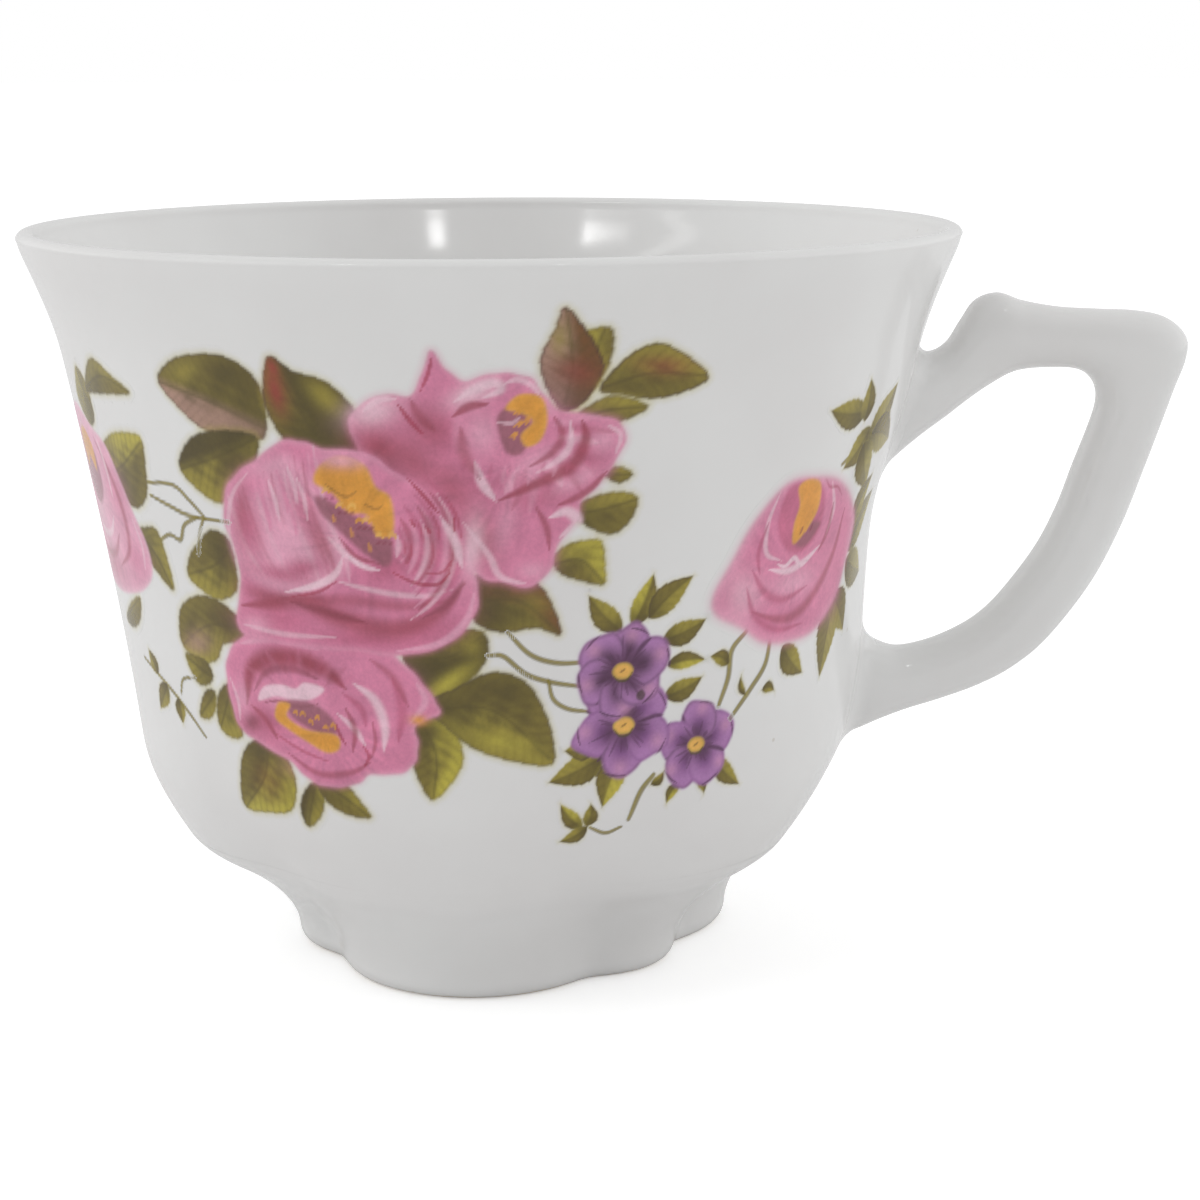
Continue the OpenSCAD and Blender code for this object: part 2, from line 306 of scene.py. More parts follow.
def grainLines(sheet, heart, reach, amount, lines=70):
    # fine hairs of light and dark that run out from the heart of a flower, as a stippled print has
    part = window(sheet, np.array([heart]), reach)
    u, v = sheet["u"][part] - heart[0], sheet["v"][part] - heart[1]
    turn = (np.arctan2(v, u) / (2 * np.pi) + np.hypot(u, v) * 0.006) * lines
    table = sheet["rng"].normal(0, 1, (lines, 6))
    ring = np.clip(np.hypot(u, v) / reach * 5, 0, 4.999)
    i, j = np.floor(turn).astype(int), np.floor(ring).astype(int)
    a, b = fade(turn - i, 0, 1), fade(ring - j, 0, 1)
    value = ((table[i % lines, j] * (1 - a) + table[(i + 1) % lines, j] * a) * (1 - b)
             + (table[i % lines, j + 1] * (1 - a) + table[(i + 1) % lines, j + 1] * a) * b)
    mask = (1 - fade(np.hypot(u, v), reach * 0.7, reach)) * (sheet["cover"][part] > 0.4)
    sheet["colour"][part] *= (1 + amount * value * mask)[..., None]


leafDrawing = {"teeth": 0.05, "soft": 0.13, "pen": 0.5, "broadSoft": 0.2, "broadVeins": 0.22}


def tint(body, colour, amount):
    amount = amount[..., None]
    return body * (1 - amount) + colourOf(colour) * amount


def leafShape(sheet, base, tip, width, light="leaf", dark="olive", bend=0.0, flip=False):
    # a pointed leaf: two halves in different light, a midrib, side veins, a toothed edge and pen lines
    base, tip = np.array(base, float), np.array(tip, float)
    length = float(np.hypot(*(tip - base)))
    x, y = (tip - base) / length
    part = window(sheet, np.array([base, tip]), width + abs(bend) + 0.6)
    u, v = sheet["u"][part] - base[0], sheet["v"][part] - base[1]
    t = (u * x + v * y) / length
    across = v * x - u * y - bend * 4 * t * (1 - t)
    tc = np.clip(t, 0.0, 1.0)
    half = width * np.sin(np.pi * tc ** 0.82) ** 0.8 * (1 - 0.35 * tc ** 3)
    half = half * (1 + leafDrawing["teeth"] * (2 * ((tc * length / 0.8) % 1) - 1) * fade(tc, 0.1, 0.3))
    depth = np.minimum(half - np.abs(across), np.minimum(t, 1 - t) * length * 0.9 + 0.05)
    mask = fade(depth, -leafDrawing["soft"], leafDrawing["soft"])
    lay(sheet, part, fade(depth, -0.5, 0.1) * 0.25, "lime")
    share = across / np.maximum(half, 0.05)
    if flip:
        share = -share
    body = tint(colourOf(dark), light, fade(share, -0.25, 0.35))
    body = tint(body, "moss", fade(1 - tc, 0.45, 1.0) * 0.75)
    veins = np.exp(-(((tc * length - np.abs(across) * 0.9) / 1.05 % 1 - 0.5) / 0.2) ** 2)
    veins = veins * fade(np.abs(share), 0.08, 0.3) * (1 - fade(np.abs(share), 0.6, 0.95)) * 0.2
    body = tint(body, "moss", veins)
    body = tint(body, "moss", np.exp(-(across / 0.16) ** 2) * 0.6 * (1 - tc * 0.5))
    lay(sheet, part, mask, body)
    line = np.exp(-((depth - 0.1) / 0.13) ** 2) * leafDrawing["pen"] * fade(-share, -0.5, 0.6) * mask
    lay(sheet, part, line, "ink", True)


def leafPatch(sheet, outline, light, dark, rib, pen=0.35):
    # a broad leaf with a given outline; rib is its midrib, and its left side is the light one
    line = smoothLine(outline, 6, closed=True)
    part = window(sheet, line, 0.9)
    u, v = sheet["u"][part], sheet["v"][part]
    gap, along, _ = toLine(u, v, np.vstack([line, line[:1]]))
    depth = np.where(insideOf(u, v, line), gap, -gap) + 0.045 * (2 * (along * len(outline) * 2.3 % 1) - 1)
    mask = fade(depth, -leafDrawing["broadSoft"], leafDrawing["broadSoft"])
    lay(sheet, part, fade(depth, -0.75, 0.1) * 0.28, "lime")
    ribLine = smoothLine(rib, 8)
    off, down, side = toLine(u, v, ribLine)
    shade = (1 - fade(down, 0.0, 0.75)) * 0.6
    middle = fade(depth, 0.35, 1.9) * (0.35 + 0.3 * np.sin(u * 2.3 + v * 1.7) * np.sin(v * 2.9))
    body = tint(colourOf(dark), light, fade(off * side, -0.9, 0.7))
    body = tint(body, "moss", shade + (1 - shade) * middle)
    size = float(np.hypot(*(ribLine[-1] - ribLine[0])))
    veins = np.exp(-(((down * size - off * 0.8) % 1 - 0.5) / 0.2) ** 2) * fade(off, 0.15, 0.5)
    body = tint(body, "moss", veins * leafDrawing["broadVeins"])
    body = tint(body, "moss", np.exp(-(off / 0.17) ** 2) * 0.55)
    lay(sheet, part, mask, body)
    lay(sheet, part, np.exp(-((depth - 0.08) / 0.12) ** 2) * pen * mask, "ink", True)


def stem(sheet, points, width):
    # a green stalk with a lit upper side
    brush(sheet, points, width * 1.25, "olive", 0.85, 0.45, inside=False, taper=0.3)
    brush(sheet, [(x - 0.04, y + 0.1) for x, y in points], width * 0.5, "leaf", 0.6, 0.6, taper=0.3)


def violetFlower(sheet, centre, size, turn, petals=5, mid="violet", throat=0.85):
    # overlapping uneven petals with pale rims, blotted plum throats, pen strokes and a yellow eye
    rng = sheet["rng"]

    def at(reach, angle):
        return (centre[0] + reach * math.cos(angle), centre[1] + reach * math.sin(angle))

    for k in range(petals):
        angle = math.radians(turn + 360 * k / petals) + rng.normal(0, 0.07)
        reach = size * (0.55 + rng.normal(0, 0.03))
        x, y = at(reach, angle)
        ring = []
        for a in np.linspace(0, 2 * np.pi, 10)[:-1]:
            r = size * 0.45 * (1 + rng.normal(0, 0.09))
            ring.append((x + r * math.cos(angle + a), y + r * math.sin(angle + a)))
        patch(sheet, ring, "lilac", 0.2, edge=("plum" if k % 2 else mid, 0.26, 0.6), halo=0.35)
        wash(sheet, at(reach * 0.75, angle), (size * 0.3, size * 0.24), mid, 0.95, math.degrees(angle))
        wash(sheet, at(reach * 0.5, angle + 0.35), size * 0.2, "plum", 0.85)
        wash(sheet, at(reach * 1.45, angle + rng.normal(0, 0.15)), size * 0.15, "blush", 0.35)
        brush(sheet, [at(reach * 1.72, angle + a) for a in (-0.42, -0.15, 0.12)], 0.24, "plum", 0.7)
        split = angle + math.pi / petals
        brush(sheet, [at(size * 0.3, split), at(size * 0.62, split + 0.05), at(size * 0.86, split)], 0.5,
              "plum", 0.8, 0.8)
    wash(sheet, centre, size * 0.4, "plum", throat)
    for k in range(petals * 4):
        angle = math.radians(turn + 360 * k / (petals * 4)) + rng.normal(0, 0.1)
        brush(sheet, [at(size * 0.22, angle), at(size * (0.5 + rng.normal(0, 0.12)), angle)], 0.24,
              "plum", 0.5)
    eye = size * 0.19
    ring = [(centre[0] + eye * 1.15 * math.cos(a), centre[1] + eye * 0.9 * math.sin(a))
            for a in np.linspace(0, 2 * np.pi, 7)[:-1]]
    patch(sheet, ring, "straw", 0.18, edge=("leaf", 0.2, 0.5))
    brush(sheet, [at(eye * 1.1, math.radians(t)) for t in (200, 250, 300, 350)], 0.28, "moss", 0.75)
    brush(sheet, [(centre[0] - 0.3, centre[1] - 0.15), (centre[0] + 0.25, centre[1] + 0.2)], 0.22,
          "umber", 0.7)


# angles round the cup run from the front (0) to the right, so the handle is at 90 degrees
cup = {  # millimetres, and degrees for the flutes
    "creaseHeight": 11.7, "crease": 31.0, "creaseSlope": 0.64,
    "shoulderHeight": 22.0, "shoulder": 35.7, "shoulderSlope": 0.12,
    "neckHeight": 60.0, "neck": 42.0, "neckSlope": 0.2,
    "lipHeight": 71.1, "lip": 46.0, "lipSlope": 0.42,
    "wall": 2.4, "lipWall": 1.8, "thinning": (62, 72),   # the wall thins to the lip between these heights
    "floor": 10.9, "floorFlat": 12.0, "cornerTop": 24.0,
    "under": [(0.0, 7.9), (8, 7.9), (16.5, 7.9), (24, 9.3), (28, 11.0)],   # from the axis to the crease
    "fluteDepth": 2.0, "fluteWidth": 13.0, "fluteFade": 4.5, "steps": 288,
}
foot = {
    # angle, distance of its centre from the axis, radius: three broad lobes, then three narrow ones
    "lobes": [(-12, 10.8, 13.2), (108, 10.8, 13.2), (228, 10.8, 13.2),
              (43, 13.4, 8.1), (163, 12.9, 8.0), (283, 12.6, 7.9)],
    "stem": 18.9, "blend": 0.8, "wallTop": 1.6, "cove": 1.8, "edge": 1.5, "ring": 3.2, "hollow": 4.6,
    "hole": 15.8, "top": 11.2, "steps": 360,
}
ridgeWipe = ((-1.3, 0.14), (-0.65, 0.22), (0, 0.28), (0.65, 0.22), (1.3, 0.14))   # height off, share
onSide = 0.02   # a vertex this near the plain side, in millimetres, belongs to it


def outerRadius(z):
    marks = [(cup[m + "Height"], cup[m], cup[m + "Slope"]) for m in ("crease", "shoulder", "neck", "lip")]
    z = np.asarray(z, float)
    r = np.full(z.shape, marks[0][1])
    for (z0, r0, s0), (z1, r1, s1) in zip(marks, marks[1:]):
        r = np.where(z >= z0, ease(np.clip((z - z0) / (z1 - z0), 0, 1), z1 - z0, r0, s0, r1, s1), r)
    return r


def angleGap(theta, centre):
    return (np.degrees(theta) - centre + 180) % 360 - 180


def flute(theta, z):
    # shallow valleys that rise from the foot's notches and die out towards the round lip
    turns = sorted(lobe[0] for lobe in foot["lobes"])
    notches = [(a + b) / 2 for a, b in zip(turns, turns[1:] + [turns[0] + 360])]
    valley = sum(np.exp(-(angleGap(theta, n) / cup["fluteWidth"]) ** 2) for n in notches)
    above = np.maximum(z - cup["creaseHeight"], 0)
    fall = 0.72 * np.exp(-above / cup["fluteFade"]) + 0.28 * (1 - fade(z, 30, 64))
    # the wall is drawn in a little between the handle's roots, and out at the lower one
    press = np.exp(-(angleGap(theta, 84) / 24) ** 2)
    pressed = np.exp(-((z - 45) / 8) ** 2) - 0.6 * np.exp(-((z - 27) / 6) ** 2)
    return cup["fluteDepth"] * valley * fall + press * pressed


def footPlan(theta):
    reach = [np.full(np.shape(theta), foot["stem"])]
    for angle, centre, radius in foot["lobes"]:
        gap = np.radians(angleGap(theta, angle))
        inside = radius ** 2 - (centre * np.sin(gap)) ** 2
        hit = (inside > 0) & (np.cos(gap) > 0)
        reach.append(np.where(hit, centre * np.cos(gap) + np.sqrt(np.maximum(inside, 0)), 0))
    top = np.max(reach, axis=0)
    return top + foot["blend"] * np.log(sum(np.exp((r - top) / foot["blend"]) for r in reach))


def coveRise(z):
    low, high = foot["wallTop"], cup["creaseHeight"]
    return np.clip((z - low) / (high - low), 0, 1) ** foot["cove"]


def plainSide(z):
    # the side without lobes and flutes, as it leaves the wheel
    z = np.asarray(z, float)
    cove = foot["stem"] + (cup["crease"] - foot["stem"]) * coveRise(z)
    return np.where(z >= cup["creaseHeight"], outerRadius(z), cove)


def rawSide(theta, z):
    plan = footPlan(theta)
    ridge = cup["crease"] - flute(theta, cup["creaseHeight"])
    cove = plan + (ridge - plan) * coveRise(z)
    return np.where(z >= cup["creaseHeight"], outerRadius(z) - flute(theta, z), cove)


def sideRadius(theta, z):
    # the outside of the clay, with the ridge above the foot wiped soft
    theta, z = np.broadcast_arrays(np.asarray(theta, float), np.asarray(z, float))
    return sum(share * rawSide(theta, z + off) for off, share in ridgeWipe)


def around(theta, radius, z):
    # to places in millimetres: the front is -Y and the handle +X
    theta, radius, z = np.broadcast_arrays(theta, radius, z)
    return np.stack([radius * np.sin(theta), -radius * np.cos(theta), z], axis=-1)


def putVertices(piece, places):
    piece.data.vertices.foreach_set("co", (places * mm).astype(np.float32).reshape(-1))
    piece.data.update()


def bendGrid(name, places):
    # a flat grid whose vertices are put at their places
    rows, columns = places.shape[:2]
    deselectAll()
    bpy.ops.mesh.primitive_grid_add(x_subdivisions=columns - 1, y_subdivisions=rows - 1, size=1,
                                    location=(0, 0, 0))
    piece = bpy.context.object
    piece.name = piece.data.name = name
    putVertices(piece, places)
    return piece


def closeUp(piece):
    # merge the edges and poles that meet and turn every face outward
    bpy.ops.object.mode_set(mode="EDIT")
    bpy.ops.mesh.select_all(action="SELECT")
    bpy.ops.mesh.remove_doubles(threshold=0.002 * mm)
    bpy.ops.mesh.delete_loose(use_verts=True, use_edges=True, use_faces=False)
    bpy.ops.mesh.select_all(action="SELECT")
    bpy.ops.mesh.normals_make_consistent(inside=False)
    bpy.ops.object.mode_set(mode="OBJECT")
    bpy.ops.object.shade_smooth_by_angle(angle=math.radians(50))


def spinProfile(name, profile, steps):
    # a ring of edges laid out as the half section, spun once round the upright axis
    deselectAll()
    bpy.ops.mesh.primitive_circle_add(vertices=len(profile), radius=1, location=(0, 0, 0))
    piece = bpy.context.object
    piece.name = piece.data.name = name
    putVertices(piece, np.array([(0, -r, z) for r, z in profile]))
    bpy.ops.object.mode_set(mode="EDIT")
    bpy.ops.mesh.select_all(action="SELECT")
    bpy.ops.mesh.spin(steps=steps, angle=2 * math.pi, center=(0, 0, 0), axis=(0, 0, 1))
    bpy.ops.object.mode_set(mode="OBJECT")
    closeUp(piece)
    return piece


def pressSide(piece, low, high, inner=None):
    # push the plain spun side into the real fluted and lobed side; inner moves the other vertices
    places = np.empty(len(piece.data.vertices) * 3, np.float32)
    piece.data.vertices.foreach_get("co", places)
    x, y, z = places.reshape(-1, 3).astype(float).T / mm
    radius = np.hypot(x, y)
    theta = np.arctan2(x, -y)
    fresh = inner(theta, radius, z) if inner else radius
    outside = (z > low) & (z < high) & (np.abs(radius - plainSide(z)) < onSide)
    putVertices(piece, around(theta, np.where(outside, sideRadius(theta, z), fresh), z))


# bowl: underside, outside, lip, inside, the round corner and the floor
lipHalf = cup["lipWall"] / 2
profile = list(cup["under"])
profile += [(float(plainSide(z)), z) for z in np.linspace(11.75, cup["lipHeight"] - 0.02, 84)]
for turn in range(0, 181, 15):
    a = math.radians(turn)
    profile.append((cup["lip"] - lipHalf + lipHalf * math.cos(a), cup["lipHeight"] + lipHalf * math.sin(a)))
for z in np.linspace(cup["lipHeight"] - 0.4, cup["cornerTop"], 60):
    thick = cup["lipWall"] + (cup["wall"] - cup["lipWall"]) * float(1 - fade(z, *cup["thinning"]))
    profile.append((float(outerRadius(z)) - thick, z))
cornerWide = float(outerRadius(cup["cornerTop"])) - cup["wall"] - cup["floorFlat"]
cornerTall = cup["cornerTop"] - cup["floor"]
for turn in range(5, 91, 5):
    a = math.radians(turn)
    profile.append((cup["floorFlat"] + cornerWide * math.cos(a),
                    cup["cornerTop"] - cornerTall * math.sin(a)))
profile += [(r, cup["floor"]) for r in (8.0, 4.0, 0.0)]
cupBowl = spinProfile("cupBowl", profile, cup["steps"])
pressSide(cupBowl, 11.0, cup["lipHeight"])
print("bowl is spun and fluted")


# foot: rounded lower edge, lobed side, top under the bowl, bore, and the ring's inner side
edge = foot["edge"]
hole, hollow = foot["hole"], foot["hollow"]
ringInner = foot["stem"] - foot["ring"]
profile = []
for turn in range(0, 90, 15):
    a = math.radians(turn)
    profile.append((foot["stem"] - edge + edge * math.sin(a), edge - edge * math.cos(a)))
profile += [(float(plainSide(z)), z) for z in np.linspace(edge, foot["top"], 34)]
profile += [(27.0, foot["top"]), (hole, 8.6), (hole, hollow + 0.5), (hole + 0.5, hollow),
            (ringInner - 0.2, hollow), (ringInner, hollow - 0.5), (ringInner, 2.5), (ringInner, 0.6),
            (ringInner + 0.3, 0.15), (ringInner + 0.8, 0.0)]
cupFoot = spinProfile("cupFoot", profile, foot["steps"])


def footSection(theta, radius, z):
    # the rounded lower edge and the ring's inner side follow the lobes
    spread = np.maximum(footPlan(theta) - foot["stem"], 0)
    low = (z < hollow + 0.01) & (radius > ringInner - 0.3)
    side = np.abs(radius - plainSide(z)) < onSide
    return np.where(low & ~side, radius + spread, radius)


pressSide(cupFoot, edge - 0.01, 11.3, inner=footSection)
print("foot is spun and lobed")


# the wiped joint between bowl and foot: a thin ring of slip that swells a hair over the ridge
seam = {"low": 10.2, "high": 12.9, "rows": 11, "swell": 0.012, "depth": 0.5, "inside": (12.7, 11.6, 10.5)}
theta = np.linspace(0, 2 * np.pi, cup["steps"] + 1)
outside = []
for i, z in enumerate(np.linspace(seam["low"], seam["high"], seam["rows"])):
    swell = seam["swell"] * math.sin(math.pi * (i + 0.5) / seam["rows"])
    outside.append(around(theta, sideRadius(theta, z) + swell, z))
inside = [around(theta, sideRadius(theta, z) - seam["depth"], z) for z in seam["inside"]]
footSeam = bendGrid("footSeam", np.array(outside + inside + outside[:1]))
closeUp(footSeam)
print("foot joint is wiped")


# handle: drawn out along a row of stations
handle = {
    # outer edge x z, inner edge x z, thickness front to back, from the upper root to the lower one
    "stations": [
        (40.2, 59.8, 38.2, 46.4, 9.6), (41.6, 59.3, 39.6, 48.2, 9.2), (43.8, 59.0, 42.4, 50.6, 8.4),
        (45.5, 60.0, 45.0, 52.5, 7.8), (46.8, 62.1, 47.5, 54.4, 7.6), (48.2, 64.1, 49.6, 55.8, 7.5),
        (50.4, 64.8, 51.6, 56.9, 7.4), (52.9, 64.0, 53.4, 57.3, 7.2), (56.5, 63.35, 55.7, 57.4, 7.0),
        (60.5, 63.1, 57.8, 57.3, 7.0), (64.4, 62.9, 59.2, 56.8, 7.0), (67.3, 62.2, 60.1, 55.9, 7.0),
        (69.2, 60.4, 60.5, 54.9, 7.0), (69.2, 58.2, 60.55, 53.8, 7.0), (68.2, 55.4, 60.3, 52.5, 7.0),
        (66.8, 51.3, 59.6, 50.4, 7.0), (65.3, 47.0, 58.4, 47.2, 7.0), (63.2, 41.3, 56.9, 43.0, 7.0),
        (60.3, 35.5, 54.8, 38.8, 7.0), (56.1, 29.9, 51.4, 34.2, 7.0), (52.6, 26.9, 48.9, 31.8, 7.0),
        (49.0, 25.0, 46.1, 30.2, 7.1), (45.0, 23.6, 43.4, 29.2, 7.4), (41.6, 22.6, 40.9, 28.8, 7.9),
        (38.9, 21.6, 38.9, 29.4, 8.5), (36.6, 20.6, 36.8, 30.6, 9.0), (35.0, 20.2, 35.2, 31.0, 9.2),
    ],
    "square": 2.7, "around": 56, "steps": 7,
}
stations = smoothLine(handle["stations"], handle["steps"])
phi = np.linspace(0, 2 * np.pi, handle["around"] + 1)


def handleRing(station):
    # a rounded oblong between the outer and the inner edge
    outer, inner, depth = station[:2], station[2:4], station[4]
    power = 2 / handle["square"]
    tall = np.sign(np.cos(phi)) * np.abs(np.cos(phi)) ** power
    wide = np.sign(np.sin(phi)) * np.abs(np.sin(phi)) ** power
    middle = (outer + inner) / 2 + np.outer(tall, (outer - inner) / 2)
    return np.stack([middle[:, 0], wide * depth / 2, middle[:, 1]], axis=-1)


rings = [handleRing(s) for s in stations]
ends = [np.repeat(rings[i].mean(0)[None], len(phi), axis=0) for i in (0, -1)]
cupHandle = bendGrid("cupHandle", np.array([ends[0]] + rings + [ends[1]]))
closeUp(cupHandle)
print("handle is drawn out")


# fillets of slip at the handle's roots: reach along the wall and along the handle
roots = {
    "upperRoot": {"rings": rings[:30], "reach": 2.6, "handleReach": 1.8},
    "lowerRoot": {"rings": rings[:-30:-1], "reach": 2.2, "handleReach": 1.8},
}
rootSkin = {"lift": 0.008, "sink": 0.4, "cornerSink": 0.6, "layers": 11}
rootPieces = {}


def wallGap(p):
    # how far outside the bowl's wall a place is
    return np.hypot(p[..., 0], p[..., 1]) - sideRadius(np.arctan2(p[..., 0], -p[..., 1]), p[..., 2])


def ontoWall(p, skin):
    a = np.arctan2(p[..., 0], -p[..., 1])
    return around(a, sideRadius(a, p[..., 2]) + skin, p[..., 2])


def crossWall(line, gaps, reach):
    # where a line along the handle leaves the wall, and the place a reach further along it
    crossing = int(np.argmax(gaps > 0))
    before = max(crossing - 1, 0)
    t = gaps[before] / (gaps[before] - gaps[crossing]) if crossing else 0.0
    corner = line[before] + (line[crossing] - line[before]) * t
    along = np.linalg.norm(np.diff(line[crossing:], axis=0), axis=1).cumsum()
    return corner, line[min(crossing + int(np.searchsorted(along, reach)), len(line) - 1)]


for name, root in roots.items():
    lines = np.array(root["rings"])    # ring, place round it, xyz
    gaps = wallGap(lines)
    ends = [crossWall(lines[:, j], gaps[:, j], root["handleReach"]) for j in range(lines.shape[1])]
    corners = np.array([corner for corner, top in ends])
    tops = np.array([top for corner, top in ends])
    spread = corners - corners[:-1].mean(0)
    spread[:, 0] = 0
    spread /= np.linalg.norm(spread, axis=1)[:, None]
    feet = ontoWall(corners + spread * root["reach"], rootSkin["lift"])
    layers = []
    for t in np.linspace(0, 1, rootSkin["layers"]):
        # a bend from the handle to the wall that runs out flat on it
        layer = tops * (1 - t) ** 2 + corners * 2 * t * (1 - t) + feet * t ** 2
        rise = (wallGap(tops) * (1 - t) ** 2 + rootSkin["lift"])[:, None]
        level = ontoWall(layer, 0.0)
        outward = layer - level
        length = np.maximum(np.linalg.norm(outward, axis=1), 1e-6)
        outward /= (length * np.sign(wallGap(layer) + 1e-9))[:, None]
        blendIn = fade(t, 0.15, 0.75)
        layers.append(layer * (1 - blendIn) + (level + outward * rise) * blendIn)
    layers.append(ontoWall(feet, -rootSkin["sink"]))
    layers.append(ontoWall(corners, -rootSkin["cornerSink"]))
    layers.append(tops + (lines.mean((0, 1)) - tops) * 0.08)
    rootPieces[name] = bendGrid(name, np.array(layers + layers[:1]))
    closeUp(rootPieces[name])
print("handle roots are filled")


glaze = {
    "body": "#eaeae9", "shade": "#e5e4e3", "iron": "#b7aa98", "bisque": "#d9cfc0",
    "roughness": 0.09, "bareRoughness": 0.65, "printRoughness": 0.2, "ior": 1.5,
    # millimetres: clouds in the clay, iron specks' spacing, waves of the glaze and their height, bare ring
    "cloudSize": 26, "speckGap": 9.0, "rippleSize": 7.0, "rippleHeight": 0.02, "bareTop": (0.45, 0.6),
}


def rgba(hexColour):
    return toLinear(hexColour) + [1]


def startFinish(name):
    # a new material with what all the clay shares: its cloudy white and the slow waves of the glaze
    finish = bpy.data.materials.new(name)
    finish.use_nodes = True
    tree = finish.node_tree
    tree.nodes.clear()
    place = addNode(tree, "ShaderNodeTexCoord")
    cloud = addNode(tree, "ShaderNodeTexNoise", {"Scale": 1000 / glaze["cloudSize"], "Detail": 3.0,
                                                 "Roughness": 0.5}, {"Vector": (place, "Object")})
    cloudTone = addNode(tree, "ShaderNodeMapRange", {1: 0.35, 2: 0.65, 3: 0.0, 4: 1.0}, {0: (cloud, 0)})
    clay = addNode(tree, "ShaderNodeMix", {"data_type": "RGBA", 6: rgba(glaze["body"]),
                                           7: rgba(glaze["shade"])}, {0: (cloudTone, 0)})
    ripple = addNode(tree, "ShaderNodeTexNoise", {"Scale": 1000 / glaze["rippleSize"], "Detail": 1.0,
                                                  "Roughness": 0.4}, {"Vector": (place, "Object")})
    return finish, tree, place, cloud, clay, ripple


def endFinish(tree, colour, rough, height):
    bump = addNode(tree, "ShaderNodeBump", {"Strength": 1.0, "Distance": glaze["rippleHeight"] * mm},
                   {"Height": (height, 0)})
    shader = addNode(tree, "ShaderNodeBsdfPrincipled", {"IOR": glaze["ior"]},
                     {"Base Color": (colour, 2), "Roughness": (rough, 0), "Normal": (bump, 0)})
    addNode(tree, "ShaderNodeOutputMaterial", links={"Surface": (shader, 0)})


def glazedPorcelain(name, footRing=False):
    # white glazed porcelain: hard, smooth and mirror-like, with a faint ripple where the glaze ran
    finish, tree, place, cloud, clay, ripple = startFinish(name)
    # the odd dark speck of iron in the clay, a few tenths of a millimetre across
    grit = addNode(tree, "ShaderNodeTexVoronoi", {"Scale": 1000 / glaze["speckGap"], "Randomness": 1.0},
                   {"Vector": (place, "Object")})
    gritSpot = addNode(tree, "ShaderNodeMapRange", {1: 0.018, 2: 0.03, 3: 0.35, 4: 0.0},
                       {0: (grit, "Distance")})
    colour = addNode(tree, "ShaderNodeMix", {"data_type": "RGBA", 7: rgba(glaze["iron"])},
                     {0: (gritSpot, 0), 6: (clay, 2)})
    rough = addNode(tree, "ShaderNodeMapRange", {1: 0.3, 2: 0.7, 3: glaze["roughness"] - 0.03,
                                                 4: glaze["roughness"] + 0.05}, {0: (cloud, 0)})
    if footRing:
        # the ring is wiped clean of glaze where it stood in the kiln: bare, matt and a little creamy
        split = addNode(tree, "ShaderNodeSeparateXYZ", links={0: (place, "Object")})
        wander = addNode(tree, "ShaderNodeMath", {"operation": "MULTIPLY_ADD", 1: 0.4 * mm},
                         {0: (ripple, 0), 2: (split, 2)})
        low, high = glaze["bareTop"]
        bare = addNode(tree, "ShaderNodeMapRange", {1: low * mm, 2: high * mm, 3: 1.0, 4: 0.0},
                       {0: (wander, 0)})
        colour = addNode(tree, "ShaderNodeMix", {"data_type": "RGBA", 7: rgba(glaze["bisque"])},
                         {0: (bare, 0), 6: (colour, 2)})
        rough = addNode(tree, "ShaderNodeMix", {"data_type": "FLOAT", 3: glaze["bareRoughness"]},
                        {0: (bare, 0), 2: (rough, 0)})
    endFinish(tree, colour, rough, ripple)
    return finish


def firedEnamel(name, grain):
    # ceramic print fired into the glaze: coloured by the painted sheet, a hair raised, a little less shiny
    finish, tree, place, _, clay, ripple = startFinish(name)
    paint = addNode(tree, "ShaderNodeAttribute", {"attribute_name": "paint"})
    cover = addNode(tree, "ShaderNodeAttribute", {"attribute_name": "cover"})
    # stipple of the print, drawn at a third of a millimetre so that it shows
    dots = addNode(tree, "ShaderNodeTexNoise", {"Scale": 1000 / grain, "Detail": 2.0, "Roughness": 0.6},
                   {"Vector": (place, "Object")})
    drift = addNode(tree, "ShaderNodeTexNoise", {"Scale": 1000 / 3.2, "Detail": 3.0, "Roughness": 0.55},
                    {"Vector": (place, "Object")})
    both = addNode(tree, "ShaderNodeMath", {"operation": "MULTIPLY_ADD", 1: 0.6},
                   {0: (dots, 0), 2: (drift, 0)})
    value = addNode(tree, "ShaderNodeMapRange", {1: 0.5, 2: 1.1, 3: 0.86, 4: 1.14}, {0: (both, 0)})
    ink = addNode(tree, "ShaderNodeHueSaturation", {"Saturation": 1.0},
                  {"Color": (paint, "Color"), "Value": (value, 0)})
    colour = addNode(tree, "ShaderNodeMix", {"data_type": "RGBA"},
                     {0: (cover, "Fac"), 6: (clay, 2), 7: (ink, 0)})
    rough = addNode(tree, "ShaderNodeMapRange", {1: 0.0, 2: 1.0, 3: glaze["roughness"],
                                                 4: glaze["printRoughness"]}, {0: (cover, "Fac")})
    relief = addNode(tree, "ShaderNodeMath", {"operation": "MULTIPLY_ADD", 1: 0.15},
                     {0: (both, 0), 2: (ripple, 0)})
    endFinish(tree, colour, rough, relief)
    return finish


bodyGlaze = glazedPorcelain("white glazed porcelain")
footGlaze = glazedPorcelain("glazed porcelain with bare foot ring", footRing=True)
slipGlaze = glazedPorcelain("glazed luting slip")

